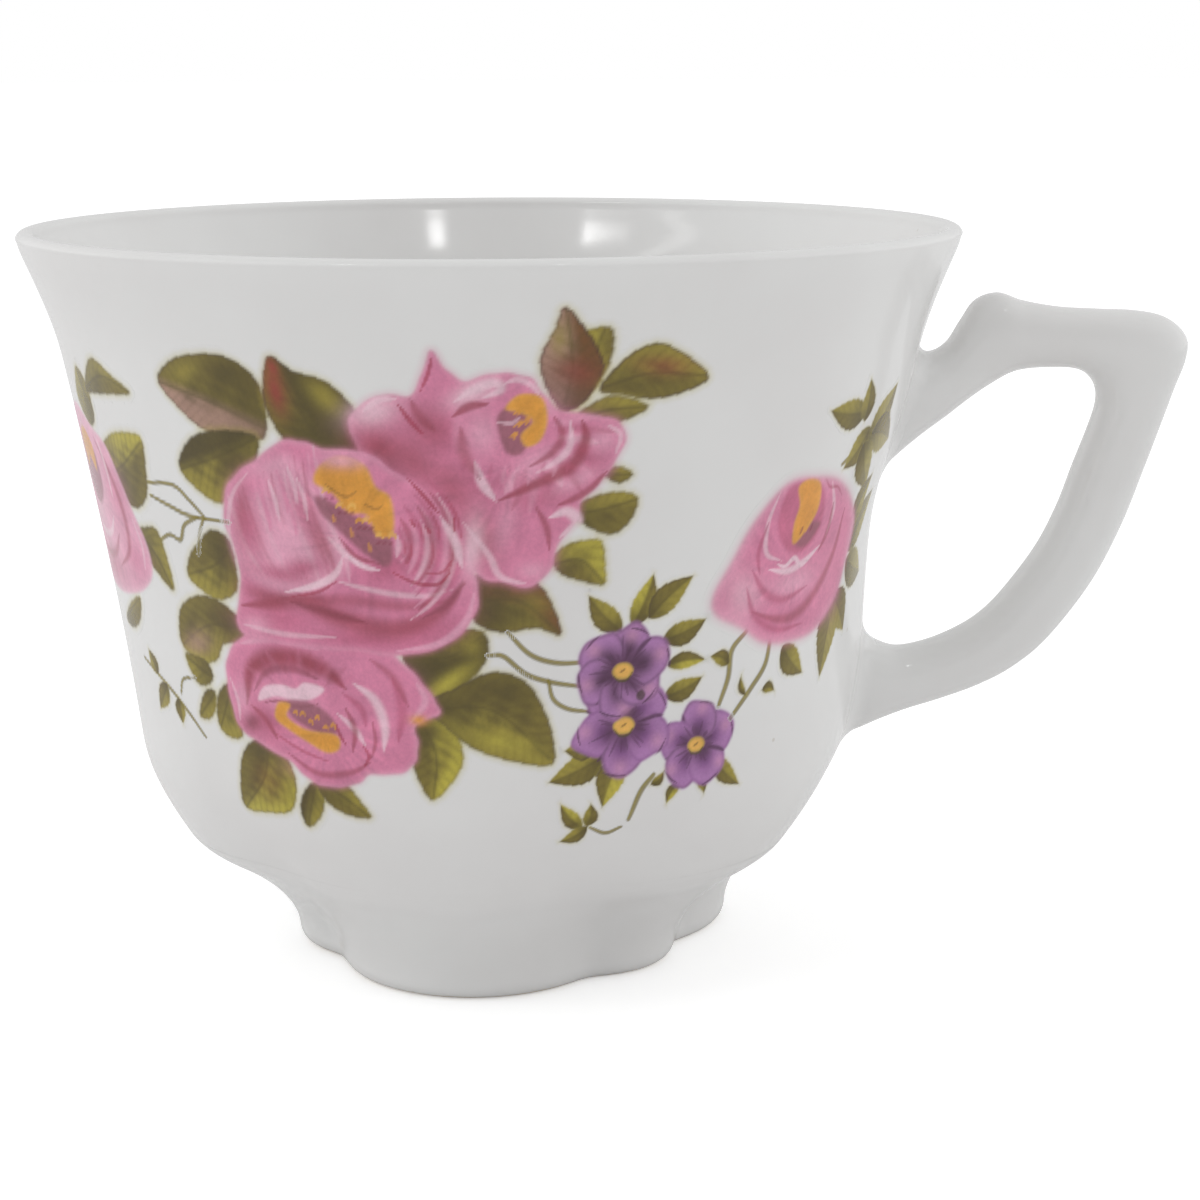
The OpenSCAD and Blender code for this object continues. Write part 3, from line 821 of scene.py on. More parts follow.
for piece, node, slot, finish in (
        (cupBowl, "bowl", "porcelain", bodyGlaze), (cupFoot, "foot", "porcelain", footGlaze),
        (cupHandle, "handle", "porcelain", bodyGlaze), (footSeam, "foot_slip", "luting_slip", slipGlaze),
        (rootPieces["upperRoot"], "upper_root_slip", "luting_slip", slipGlaze),
        (rootPieces["lowerRoot"], "lower_root_slip", "luting_slip", slipGlaze)):
    piece.data.materials.append(finish)
    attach(piece, "root")
    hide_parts(node)
print("porcelain is glazed")


def paintBouquetLeaves(sheet):
    # back leaves first, then those nearer the flowers
    leafPatch(sheet, [(5, 59), (7, 59.5), (8.8, 62.5), (9.1, 65.2), (8.4, 66.2), (6.5, 65.5), (5.5, 63)],
              "leaf", "olive", [(5.5, 59.5), (7.2, 62.5), (8.3, 66)])
    leafPatch(sheet, [(5.2, 68), (4.5, 66), (3.5, 63.5), (4, 61), (5.3, 59), (7, 59.5), (8.4, 62),
                      (8.2, 63.6), (7, 65.8)], "dusk", "umber", [(5.6, 59.5), (6, 63), (5.3, 67.8)],
              pen=0.8)
    wash(sheet, (6.3, 62.3), (1.2, 1.9), "russet", 0.6, 70)
    wash(sheet, (4.9, 65.3), (0.7, 1.4), "leaf", 0.6)
    leafPatch(sheet, [(8.2, 60.6), (9.6, 62.8), (11.5, 64.3), (13.6, 64.3), (17.4, 61.4), (15.2, 60),
                      (12.5, 59.6), (10, 60.1)], "leaf", "olive", [(8.4, 60.8), (12.5, 61.9),
                                                                   (17.2, 61.4)], pen=0.75)
    wash(sheet, (13.5, 62.5), (2.3, 0.9), "russet", 0.5, -8)
    leafPatch(sheet, [(6, 57.9), (7.6, 59.4), (9.6, 60.1), (12.4, 59), (10.4, 57.8), (8, 57.5)], "leaf",
              "olive", [(6.2, 58), (9, 58.8), (12.3, 59)])
    leafPatch(sheet, [(8.9, 53.2), (10.2, 53.8), (11.5, 53), (10.3, 52.2)], "leaf", "olive",
              [(9, 53.1), (11.4, 53)])
    leafPatch(sheet, [(6.3, 50), (8.2, 51.2), (10.6, 51.5), (12.1, 50.8), (11.6, 48.8), (10, 47.6),
                      (7.8, 48.4)], "leaf", "olive", [(6.5, 49.6), (9.2, 50), (12, 50.7)])
    leafPatch(sheet, [(4.8, 45.6), (6, 46.9), (8, 47.3), (9.2, 47), (9.6, 44.6), (9.5, 43), (7, 43.6),
                      (5.5, 44.3)], "lime", "olive", [(5, 45.2), (7.4, 45.4), (9.5, 43.2)])
    # left side, from the top down
    leafPatch(sheet, [(-30, 60.3), (-28.5, 62), (-26, 63), (-22, 63.2), (-19.4, 61.4), (-18.8, 58.5),
                      (-19.4, 56), (-22, 55.8), (-25.5, 56.3), (-28, 58)], "dusk", "olive",
              [(-19.2, 57), (-24.5, 59), (-29.8, 60.3)], pen=0.65)
    wash(sheet, (-22, 61.8), (3.4, 1.2), "moss", 0.75, -6)
    wash(sheet, (-26.5, 61.5), (1.8, 0.9), "leaf", 0.6, 20)
    wash(sheet, (-23.5, 57.4), (3.6, 0.9), "dusk", 0.75, -12)
    leafPatch(sheet, [(-29.5, 52.3), (-28.6, 54.3), (-26.4, 55.9), (-23, 56.5), (-20, 56), (-21, 53),
                      (-23.5, 50.8), (-25.2, 49.6), (-27.4, 50.4)], "leaf", "moss",
              [(-20.5, 55.8), (-24.5, 54), (-29.2, 52.4)])
    wash(sheet, (-23.2, 53.6), (2.0, 1.3), "moss", 0.8, 35)
    leafPatch(sheet, [(-17.8, 63.4), (-15.8, 62.2), (-13.2, 61.4), (-11.2, 59.3), (-10.2, 56.8),
                      (-10.6, 54.8), (-14, 54.9), (-17, 55.6), (-18.4, 57.6), (-18.9, 60)], "olive",
              "moss", [(-13.4, 55), (-15.6, 58.5), (-17.7, 63)], pen=0.7)
    wash(sheet, (-13.4, 60), (1.9, 1.0), "leaf", 0.8, -45)
    wash(sheet, (-17.7, 60.4), (0.9, 2.1), "russet", 0.95, 8)
    wash(sheet, (-17.6, 62.4), (0.5, 0.9), "russet", 0.9, 8)
    wash(sheet, (-15, 56.6), (2.6, 1.2), "moss", 0.7, 0)
    leafPatch(sheet, [(-31.5, 42.2), (-30.6, 44.2), (-29, 45.6), (-27, 47), (-25, 46.4), (-24.6, 44),
                      (-25, 41.5), (-27.5, 40.3), (-30, 41)], "leaf", "olive",
              [(-25, 45.4), (-27.4, 43.6), (-31.2, 42.3)])
    wash(sheet, (-26, 44.4), (1.5, 1.9), "moss", 0.65)
    leafPatch(sheet, [(-34.5, 35), (-34.4, 37.3), (-33.3, 39.1), (-30.5, 40.4), (-27.5, 40.2),
                      (-24.8, 38.4), (-25.4, 36.6), (-28, 36), (-29.4, 34.3), (-32, 33.7)], "leaf",
              "olive", [(-25.5, 38), (-29.8, 37.6), (-34.2, 35.2)])
    wash(sheet, (-32, 35.6), (2.2, 1.2), "dusk", 0.7, 20)
    wash(sheet, (-27, 38.2), (1.9, 1.2), "moss", 0.8)
    leafPatch(sheet, [(-34.4, 34.1), (-32.6, 34.3), (-31, 33.9), (-30.4, 32.6), (-31.4, 31.6),
                      (-33.2, 31.6)], "leaf", "olive", [(-31, 32.6), (-34.1, 33.9)])
    leafPatch(sheet, [(-33.6, 28.2), (-33, 29.8), (-31.8, 31.1), (-30.5, 31.1), (-30.8, 29.4),
                      (-32, 28.2)], "leaf", "olive", [(-30.7, 30.8), (-33.3, 28.5)])
    leafPatch(sheet, [(-30.6, 27.6), (-30.7, 29.4), (-29.9, 31.2), (-28.2, 32.2), (-27.6, 30),
                      (-27.2, 27.4), (-29, 26.8)], "leaf", "olive", [(-28.2, 31.6), (-29.4, 29.4),
                                                                     (-30.4, 27.8)])
    leafPatch(sheet, [(-28.7, 20), (-28.6, 23), (-27.6, 25.6), (-25.5, 27.2), (-22.4, 27), (-20.8, 24.5),
                      (-21, 22), (-22.2, 20.6), (-25, 20.1)], "lime", "olive",
              [(-23.8, 26.8), (-25, 23.5), (-28.4, 20.2)], pen=0.5)
    wash(sheet, (-24.4, 23.4), (2.2, 1.9), "umber", 0.5, 30)
    wash(sheet, (-24.2, 26.2), (2.4, 0.9), "moss", 0.6, 0)
    leafPatch(sheet, [(-20, 19.4), (-20.6, 21.2), (-19.8, 23.1), (-18.4, 24.1), (-17.5, 22.8),
                      (-18.1, 20.8)], "leaf", "moss", [(-18.4, 23.9), (-19.2, 21.6), (-19.9, 19.6)])
    leafPatch(sheet, [(-18.3, 24.4), (-16.6, 24.8), (-15, 24.3), (-13.6, 22.8), (-12.6, 21.2),
                      (-15, 21.2), (-17.3, 22.3)], "leaf", "olive", [(-18, 24.2), (-15.4, 23),
                                                                     (-12.8, 21.3)])
    # right of the lower rose and under the centre rose
    leafPatch(sheet, [(-8.3, 30.3), (-6.4, 31.3), (-4.4, 30.4), (-3.3, 28.3), (-3.6, 26), (-6.2, 23.2),
                      (-7.7, 25.2), (-8.2, 27.6)], "lime", "olive", [(-7, 30.6), (-5.8, 27.4),
                                                                     (-6.2, 23.6)])
    wash(sheet, (-6.8, 29.8), (1.3, 1.2), "moss", 0.65)
    leafPatch(sheet, [(-8.6, 37), (-6.6, 38.4), (-3.6, 39.3), (-1.1, 39.1), (-0.8, 36.8), (-2.4, 34.6),
                      (-5, 32.9), (-6.6, 33.6)], "olive", "moss", [(-8.2, 36.6), (-4.2, 36.8),
                                                                   (-1.1, 38.8)])
    wash(sheet, (-4.4, 34.4), (2.7, 0.75), "lime", 0.95, 34)
    wash(sheet, (-2.2, 37.7), (1.0, 0.9), "leaf", 0.6)
    leafPatch(sheet, [(-6.6, 32.3), (-4, 33.8), (-0.4, 35.4), (2.6, 34.4), (4.4, 31.6), (5.3, 28.8),
                      (5.2, 26.4), (2, 26.7), (-2, 28), (-4.4, 29.8)], "olive", "leaf",
              [(-6.4, 31.8), (-0.5, 31.8), (4.9, 27)], pen=0.55)
    wash(sheet, (0.6, 33.6), (3.4, 1.2), "moss", 0.7, -12)
    wash(sheet, (-4.6, 31.9), (1.6, 0.9), "moss", 0.7)
    wash(sheet, (0.2, 28.9), (3.6, 0.9), "lime", 0.55, -14)
    leafPatch(sheet, [(-2.6, 43.8), (0, 44.5), (3.4, 43.6), (4.9, 41.6), (5.8, 38.6), (3.5, 39.3),
                      (0.4, 39), (-2, 40.2)], "umber", "olive", [(-2.2, 41.8), (2, 41.9), (5.6, 38.8)],
              pen=0.55)
    wash(sheet, (-0.8, 41), (1.8, 1.1), "moss", 0.7)
    wash(sheet, (3.6, 41.7), (1.5, 0.9), "leaf", 0.45, -30)


def paintUpperRose(sheet):
    patch(sheet, [(-11.6, 57.2), (-10.6, 59.3), (-8.2, 60.4), (-6.6, 60.2), (-5.5, 62), (-4.7, 64.2),
                  (-3.6, 62.6), (-2.2, 61.6), (-0.2, 62.2), (1.4, 62.2), (2.9, 61.7), (3.8, 60.3),
                  (5.2, 58.9), (7.8, 58.4), (10, 57.7), (10.6, 56), (9.7, 54), (8.7, 52.4), (7.2, 50.8),
                  (6.8, 49), (5.4, 47.2), (4.7, 44.8), (3, 43.2), (0.4, 43.7), (-1.6, 44.4), (-4, 48),
                  (-6, 51), (-9.6, 53)], "pink", 0.2, edge=("blush", 0.35, 0.5), ruffle=0.05, halo=0.8)
    # big cloudy shades of the petals behind
    wash(sheet, (-9.6, 58.8), (2.2, 1.3), "pale", 0.8, 20)
    wash(sheet, (-9.2, 55.6), (2.4, 1.6), "deep", 0.9, -30)
    wash(sheet, (-8.6, 54.2), (2.0, 0.9), "wine", 0.5, -40)
    wash(sheet, (-4.3, 61.4), (0.9, 2.2), "pink", 0.8, -10)
    wash(sheet, (-3.9, 57), (1.9, 1.8), "rose", 0.75)
    wash(sheet, (0, 52.6), (3.4, 1.6), "rose", 0.85, -22)
    wash(sheet, (-3.6, 51.8), (1.6, 2.6), "deep", 0.8, 25)
    wash(sheet, (-1.2, 47.6), (1.7, 2.4), "deep", 0.8, 20)
    wash(sheet, (2.6, 46.6), (2.0, 2.3), "pink", 0.7)
    wash(sheet, (3.2, 44.6), (1.3, 0.8), "blush", 0.7)
    wash(sheet, (7.4, 54.4), (1.6, 2.0), "rose", 0.75, 20)
    wash(sheet, (8.8, 56.2), (1.3, 1.2), "blush", 0.75)
    wash(sheet, (4.6, 51.6), (2.6, 1.0), "rose", 0.8, 20)
    wash(sheet, (1.5, 57.8), (4.4, 3.0), "pink", 0.55)
    wash(sheet, (-6.4, 54.2), (1.5, 2.6), "deep", 0.7, 30)
    wash(sheet, (6.6, 52.6), (2.2, 0.8), "blush", 0.75, 25)
    wash(sheet, (0.8, 48.8), (0.9, 2.6), "blush", 0.5, -15)
    # cup of the flower
    patch(sheet, [(-3, 58.8), (-2, 60.6), (0.2, 61.6), (2.8, 61.2), (5, 58.6), (6.6, 56.4), (5.6, 53.6),
                  (3, 52), (0.4, 51), (-1.6, 53.4), (-3, 56)], "pink", 0.5, 0.8, edge=("blush", 0.5, 0.4),
          inside=True)
    wash(sheet, (-1.6, 60.6), (2.0, 0.9), "pale", 0.8, 28)
    wash(sheet, (-5.2, 57.6), (1.5, 1.9), "deep", 0.55, 20)
    wash(sheet, (3.8, 59.2), (1.1, 0.6), "blush", 0.6, -24)
    for k in range(12):  # long soft strokes from the heart out over the right petals
        a = math.radians(38 - 13 * k)
        out = 6.4 + 1.1 * math.sin(k * 1.7)
        line = [(2.4 + r * math.cos(a - 0.05 * r), 56.4 + 0.92 * r * math.sin(a - 0.05 * r))
                for r in (2.6, 4.4, out)]
        brush(sheet, line, 0.95, ("blush", "deep", "pale", "rose")[k % 4], 0.34, 0.95)
    wash(sheet, (-1, 57), (1.4, 1.8), "blush", 0.75)
    wash(sheet, (3.4, 54.4), (2.0, 1.2), "blush", 0.7, 25)
    brush(sheet, [(7, 58), (7.3, 56.2), (6.2, 54), (3.2, 52.4), (0.2, 51)], 1.3, "deep", 0.85, 0.8)
    brush(sheet, [(6, 58), (6.1, 56), (5.2, 54.6), (3.3, 53.4)], 0.7, "pale", 0.7, 0.7)
    brush(sheet, [(-3.2, 58.5), (-1.9, 59.4), (-0.4, 59.6)], 0.9, "deep", 0.8, 0.7)
    brush(sheet, [(-3, 59.8), (-1.5, 60.9), (0, 61.4), (0.5, 60.8), (-0.9, 60.1)], 1.0, "pale", 0.85, 0.85)
    brush(sheet, [(0.8, 61.3), (1.8, 61.7), (2.9, 61.2), (3.6, 60.2)], 0.6, "pale", 0.7, 0.6)
    brush(sheet, [(-1.6, 54.6), (-1, 52.6), (0.1, 51)], 0.9, "pale", 0.85, 0.6)
    brush(sheet, [(4.5, 49.4), (6, 49.9), (6.9, 48.9), (5.4, 47.6)], 1.1, "pale", 0.9, 0.7)
    brush(sheet, [(-2.8, 49.3), (-0.6, 46.2), (0.4, 44.2), (2.8, 43.4)], 0.7, "pale", 0.65, 0.7)
    brush(sheet, [(-7.6, 59.7), (-6.6, 58.1), (-5.5, 56.8)], 0.45, "magenta", 0.8, 0.5)
    brush(sheet, [(-6.5, 60), (-5.8, 58.4), (-4.6, 57.2)], 1.0, "deep", 0.6, 0.8)
    brush(sheet, [(-10.4, 58.8), (-9, 59.9), (-7.6, 60)], 0.7, "pale", 0.75, 0.6)
    brush(sheet, [(-4.6, 63.8), (-5, 62.2), (-5.7, 60.6)], 0.35, "magenta", 0.75, 0.5)
    brush(sheet, [(8.9, 57.6), (10.2, 56.6), (9.9, 55)], 0.5, "pale", 0.6, 0.6)
    brush(sheet, [(9.2, 53.4), (7.6, 51.6), (5, 50.4)], 0.8, "deep", 0.7, 0.8)
    brush(sheet, [(3.4, 50.4), (4.3, 48.5), (4.6, 46.4)], 0.7, "deep", 0.7, 0.8)
    # heart
    patch(sheet, [(0.2, 58.2), (1.2, 59.4), (2.6, 59.2), (2.9, 57), (2.2, 55.2), (0.9, 55.4)], "mauve",
          0.25, 0.9, True)
    patch(sheet, [(0.9, 59.2), (2, 60.4), (3.7, 60.1), (4.2, 58.2), (3.7, 56.4), (2.6, 55.8), (2.1, 56.8),
                  (3, 58), (2, 58.8)], "ochre", 0.2, 1.0, True, edge=("straw", 0.3, 0.3))
    for x, y in ((1.6, 57.6), (1.2, 56.6), (2.2, 57.9), (2.5, 56.6), (1.5, 58.6)):
        brush(sheet, [(x, y), (x + 0.5, y + 0.4), (x + 0.3, y - 0.2)], 0.35, "ochre", 0.8, 0.5)
    brush(sheet, [(0.2, 58), (1.4, 57.9), (2.1, 58.5)], 0.4, "pale", 0.5, 0.6)
    brush(sheet, [(-2.6, 57.6), (-2.4, 55.2), (-1.2, 53)], 1.2, "deep", 0.6, 0.9)
    brush(sheet, [(4.6, 58.6), (5.4, 56.8), (4.6, 55.2), (2.8, 54)], 0.8, "deep", 0.65, 0.8)
    for k in range(9):
        x = -2.6 + k * 1.05
        brush(sheet, [(x, 52.0 + 0.35 * abs(k - 4)), (x + 0.3, 53.8 + 0.3 * abs(k - 4))], 0.45,
              "blush" if k % 2 else "rose", 0.4, 0.95)


def paintCentreRose(sheet):
    patch(sheet, [(-25.4, 39.4), (-25.2, 37.6), (-22, 37.2), (-18, 37), (-13, 37), (-9, 36.8), (-5, 37.7),
                  (-2.8, 39.3), (-1.6, 41.6), (-1.7, 43.8), (-2.2, 46), (-3, 48.4), (-4.6, 50.6),
                  (-6, 52.1), (-8.6, 53.9), (-10.5, 55.2), (-14, 55.4), (-16, 56), (-18, 55.8),
                  (-20.2, 54.2), (-22.4, 52.8), (-24.2, 51), (-25, 48), (-24.2, 45), (-24.4, 42)], "pink",
          0.2, edge=("blush", 0.4, 0.5), ruffle=0.05, halo=0.6)
    # the wide petals below
    wash(sheet, (-20.6, 39.4), (4.2, 1.5), "rose", 0.7, 5)
    wash(sheet, (-23.3, 38.5), (1.7, 0.9), "blush", 0.7, 5)
    wash(sheet, (-12, 41.8), (3.2, 1.3), "pink", 0.9, -5)
    wash(sheet, (-6, 39.2), (3.2, 1.2), "rose", 0.7, 18)
    wash(sheet, (-12, 38.2), (4.4, 0.9), "rose", 0.8)
    brush(sheet, [(-24.6, 40.2), (-21, 40.8), (-18, 41.5), (-14, 40), (-9, 39.3), (-5, 40.9),
                  (-2.7, 43.6)], 2.3, "deep", 0.8, 0.9)
    brush(sheet, [(-19, 41.2), (-15, 40.4), (-11.5, 39.7)], 1.0, "wine", 0.65, 0.9)
    brush(sheet, [(-6.4, 40.4), (-4, 42), (-2.8, 43.9)], 0.8, "wine", 0.55, 0.9)
    brush(sheet, [(-24.9, 38.4), (-20, 38), (-14.6, 38.2)], 0.6, "pale", 0.5, 0.8)
    brush(sheet, [(-9, 37.2), (-5, 38.1), (-2.6, 40.3), (-1.8, 43)], 0.7, "blush", 0.8, 0.7)
    # big cupping petal on the left
    patch(sheet, [(-24.4, 44.6), (-24.8, 48), (-23.8, 51), (-21.8, 52.8), (-19.4, 54.2), (-17.2, 54.6),
                  (-15.4, 52.4), (-14, 49.4), (-13, 46.4), (-13.6, 44), (-16, 42.6), (-19.4, 42),
                  (-22.6, 42.8)], "blush", 0.9, 0.9, True)
    for k in range(16):  # long strokes from the rim of the petal down to its fold
        x = -24.2 + 0.62 * k
        line = [(x, 50.6 + 0.34 * k), (x + 0.5, 48.4 + 0.1 * k), (x + 1.3 + 0.04 * k, 45.6 - 0.02 * k),
                (x + 2.9 - 0.06 * k, 43.2)]
        brush(sheet, line, 0.62, ("pale", "rose", "blush", "pink", "deep")[(k * 3) % 5], 0.42, 0.9)
    wash(sheet, (-18.4, 46.6), (2.8, 3.0), "blush", 0.9)
    wash(sheet, (-22.6, 47.6), (1.7, 3.2), "rose", 0.8, -8)
    wash(sheet, (-21.4, 51.6), (1.9, 1.2), "pink", 0.8, 30)
    wash(sheet, (-16.4, 49.8), (1.4, 2.6), "rose", 0.6, 25)
    wash(sheet, (-19.6, 43.6), (3.3, 0.8), "rose", 0.7, -5)
    starts = ((-19.6, 52.4), (-18.6, 53.2), (-17.6, 53.9), (-20.6, 51.2), (-16.8, 52.8), (-18, 51))
    for k, (x, y) in enumerate(starts):
        brush(sheet, [(x, y), (x + 0.5, y - 2), (x + 0.6, y - 3.9)], 0.5,
              "pale" if k % 2 == 0 else "pink", 0.6, 0.8)
    brush(sheet, [(-19.4, 42), (-16.4, 42.8), (-14.2, 44), (-13.2, 45.8)], 0.75, "pale", 0.95, 0.55)
    brush(sheet, [(-19, 41.6), (-16, 42.3), (-13.9, 43.5)], 0.32, "magenta", 0.7, 0.5)
    brush(sheet, [(-24.3, 44.2), (-24.7, 47.4), (-23.6, 50.6), (-21.4, 52.9)], 0.5, "pale", 0.55, 0.7)
    brush(sheet, [(-13.9, 43.4), (-12, 43), (-9, 42.5), (-6, 42.4), (-3.8, 43)], 0.6, "pale", 0.7, 0.8)
    brush(sheet, [(-20, 41.4), (-16, 41.6), (-12, 41.7), (-8, 41.4), (-4, 42)], 1.5, "deep", 0.6, 0.95)
    brush(sheet, [(-14.6, 47.6), (-12.8, 45.8), (-10.6, 44.4)], 0.7, "pale", 0.7, 0.8)
    wash(sheet, (-21.6, 41.4), (2.6, 0.9), "deep", 0.7, -8)
    wash(sheet, (-22.8, 49.6), (0.8, 2.4), "deep", 0.5, -14)
    wash(sheet, (-15.2, 46.8), (1.1, 2.4), "deep", 0.55, 20)
    wash(sheet, (-17.2, 44.4), (2.2, 0.8), "rose", 0.8, 12)
    # right bud of wrapped petals
    wash(sheet, (-6.4, 48), (3.8, 4.4), "pink", 0.9)
    wash(sheet, (-9.2, 44.8), (2.6, 1.3), "rose", 0.8, 20)
    wash(sheet, (-1.9, 47), (0.9, 2.5), "pale", 0.75, -8)
    for k in range(7):  # petals folded one over the other round the heart
        r = 8.7 - 0.82 * k + 0.16 * math.sin(k * 2.3)
        turns = range(-58 + 6 * k, 56 - 3 * k, 15)
        arc = [(-11.7 + r * math.cos(math.radians(a)), 47.2 + r * 0.96 * math.sin(math.radians(a)))
               for a in turns]
        brush(sheet, arc, 1.0, "deep" if k % 2 else "rose", 0.6, 0.95)
        lit = [(x - 0.42, y + 0.06) for x, y in arc[:-1]]
        brush(sheet, lit, 0.62, "pale" if k % 3 == 0 else "blush", 0.55, 0.9)
        brush(sheet, [(x + 0.2, y) for x, y in arc[-4 - k % 2:-1 - k % 2]], 0.26, "magenta", 0.5, 0.7)
    brush(sheet, [(-4.5, 49.6), (-3.3, 47.2), (-2.9, 45)], 0.9, "pale", 0.8, 0.7)
    brush(sheet, [(-7.1, 53), (-5.6, 51.2), (-4.6, 49.8)], 0.4, "magenta", 0.85, 0.5)
    brush(sheet, [(-3.5, 49.8), (-3.3, 48)], 0.3, "magenta", 0.8, 0.5)
    brush(sheet, [(-7.1, 49.4), (-6.7, 48.6)], 0.35, "magenta", 0.8, 0.5)
    brush(sheet, [(-5.8, 48.8), (-5.4, 48)], 0.35, "magenta", 0.8, 0.5)
    brush(sheet, [(-9.1, 44.6), (-7, 43.6), (-5, 43.5), (-3.7, 44.8)], 0.4, "magenta", 0.75, 0.5)
    brush(sheet, [(-3.6, 45.8), (-4.6, 44.6), (-6.2, 44.4)], 0.3, "magenta", 0.6, 0.5)
    brush(sheet, [(-13, 46), (-11.6, 45), (-9.9, 44.6)], 0.55, "pale", 0.85, 0.6)
    brush(sheet, [(-13.4, 47.4), (-12, 45.8), (-10, 45.2)], 0.5, "deep", 0.7, 0.7)
    # heart: mauve shade with ochre stamens
    patch(sheet, [(-15, 51.2), (-12, 49.6), (-10.4, 48.6), (-8.8, 47.6), (-9.1, 45.1), (-11, 45.9),
                  (-13.2, 47.9), (-15, 49.7)], "mauve", 0.3, 0.9, True)
    patch(sheet, [(-15.2, 52.4), (-14.4, 54), (-12.6, 54.8), (-10.6, 54.1), (-9.8, 52.2), (-8.6, 51.2),
                  (-8.6, 48.2), (-10, 47.8), (-10.8, 49.6), (-12.4, 49.8), (-13.6, 51.4)], "ochre", 0.25,
          1.0, True, edge=("straw", 0.35, 0.3))
    wash(sheet, (-12.6, 54.4), (2.2, 0.7), "blush", 0.75)
    for k in range(9):
        x, y = -13.8 + 0.5 * k, 49.6 - 0.42 * k + 0.5 * math.sin(k * 2.1)
        brush(sheet, [(x, y), (x + 0.1, y - 0.9)], 0.4, "mauve" if k % 3 else "ochre", 0.6, 0.7)
    for k in range(11):
        x, y = -14.6 + 0.55 * k, 51.4 - 0.42 * k + 0.5 * math.sin(k * 2.1)
        brush(sheet, [(x, y), (x + 0.45, y + 0.4), (x + 0.75, y - 0.1)], 0.42,
              "ochre" if k % 2 else "straw", 0.85, 0.5)
        brush(sheet, [(x + 0.1, y - 0.6), (x + 0.5, y - 0.3)], 0.35, "wine", 0.5, 0.6)
    brush(sheet, [(-14.4, 52.4), (-12.6, 51.2), (-11.4, 51.8)], 0.3, "umber", 0.45, 0.6)
    brush(sheet, [(-11.2, 50.8), (-10, 50.2), (-9.2, 50.6)], 0.3, "umber", 0.45, 0.6)


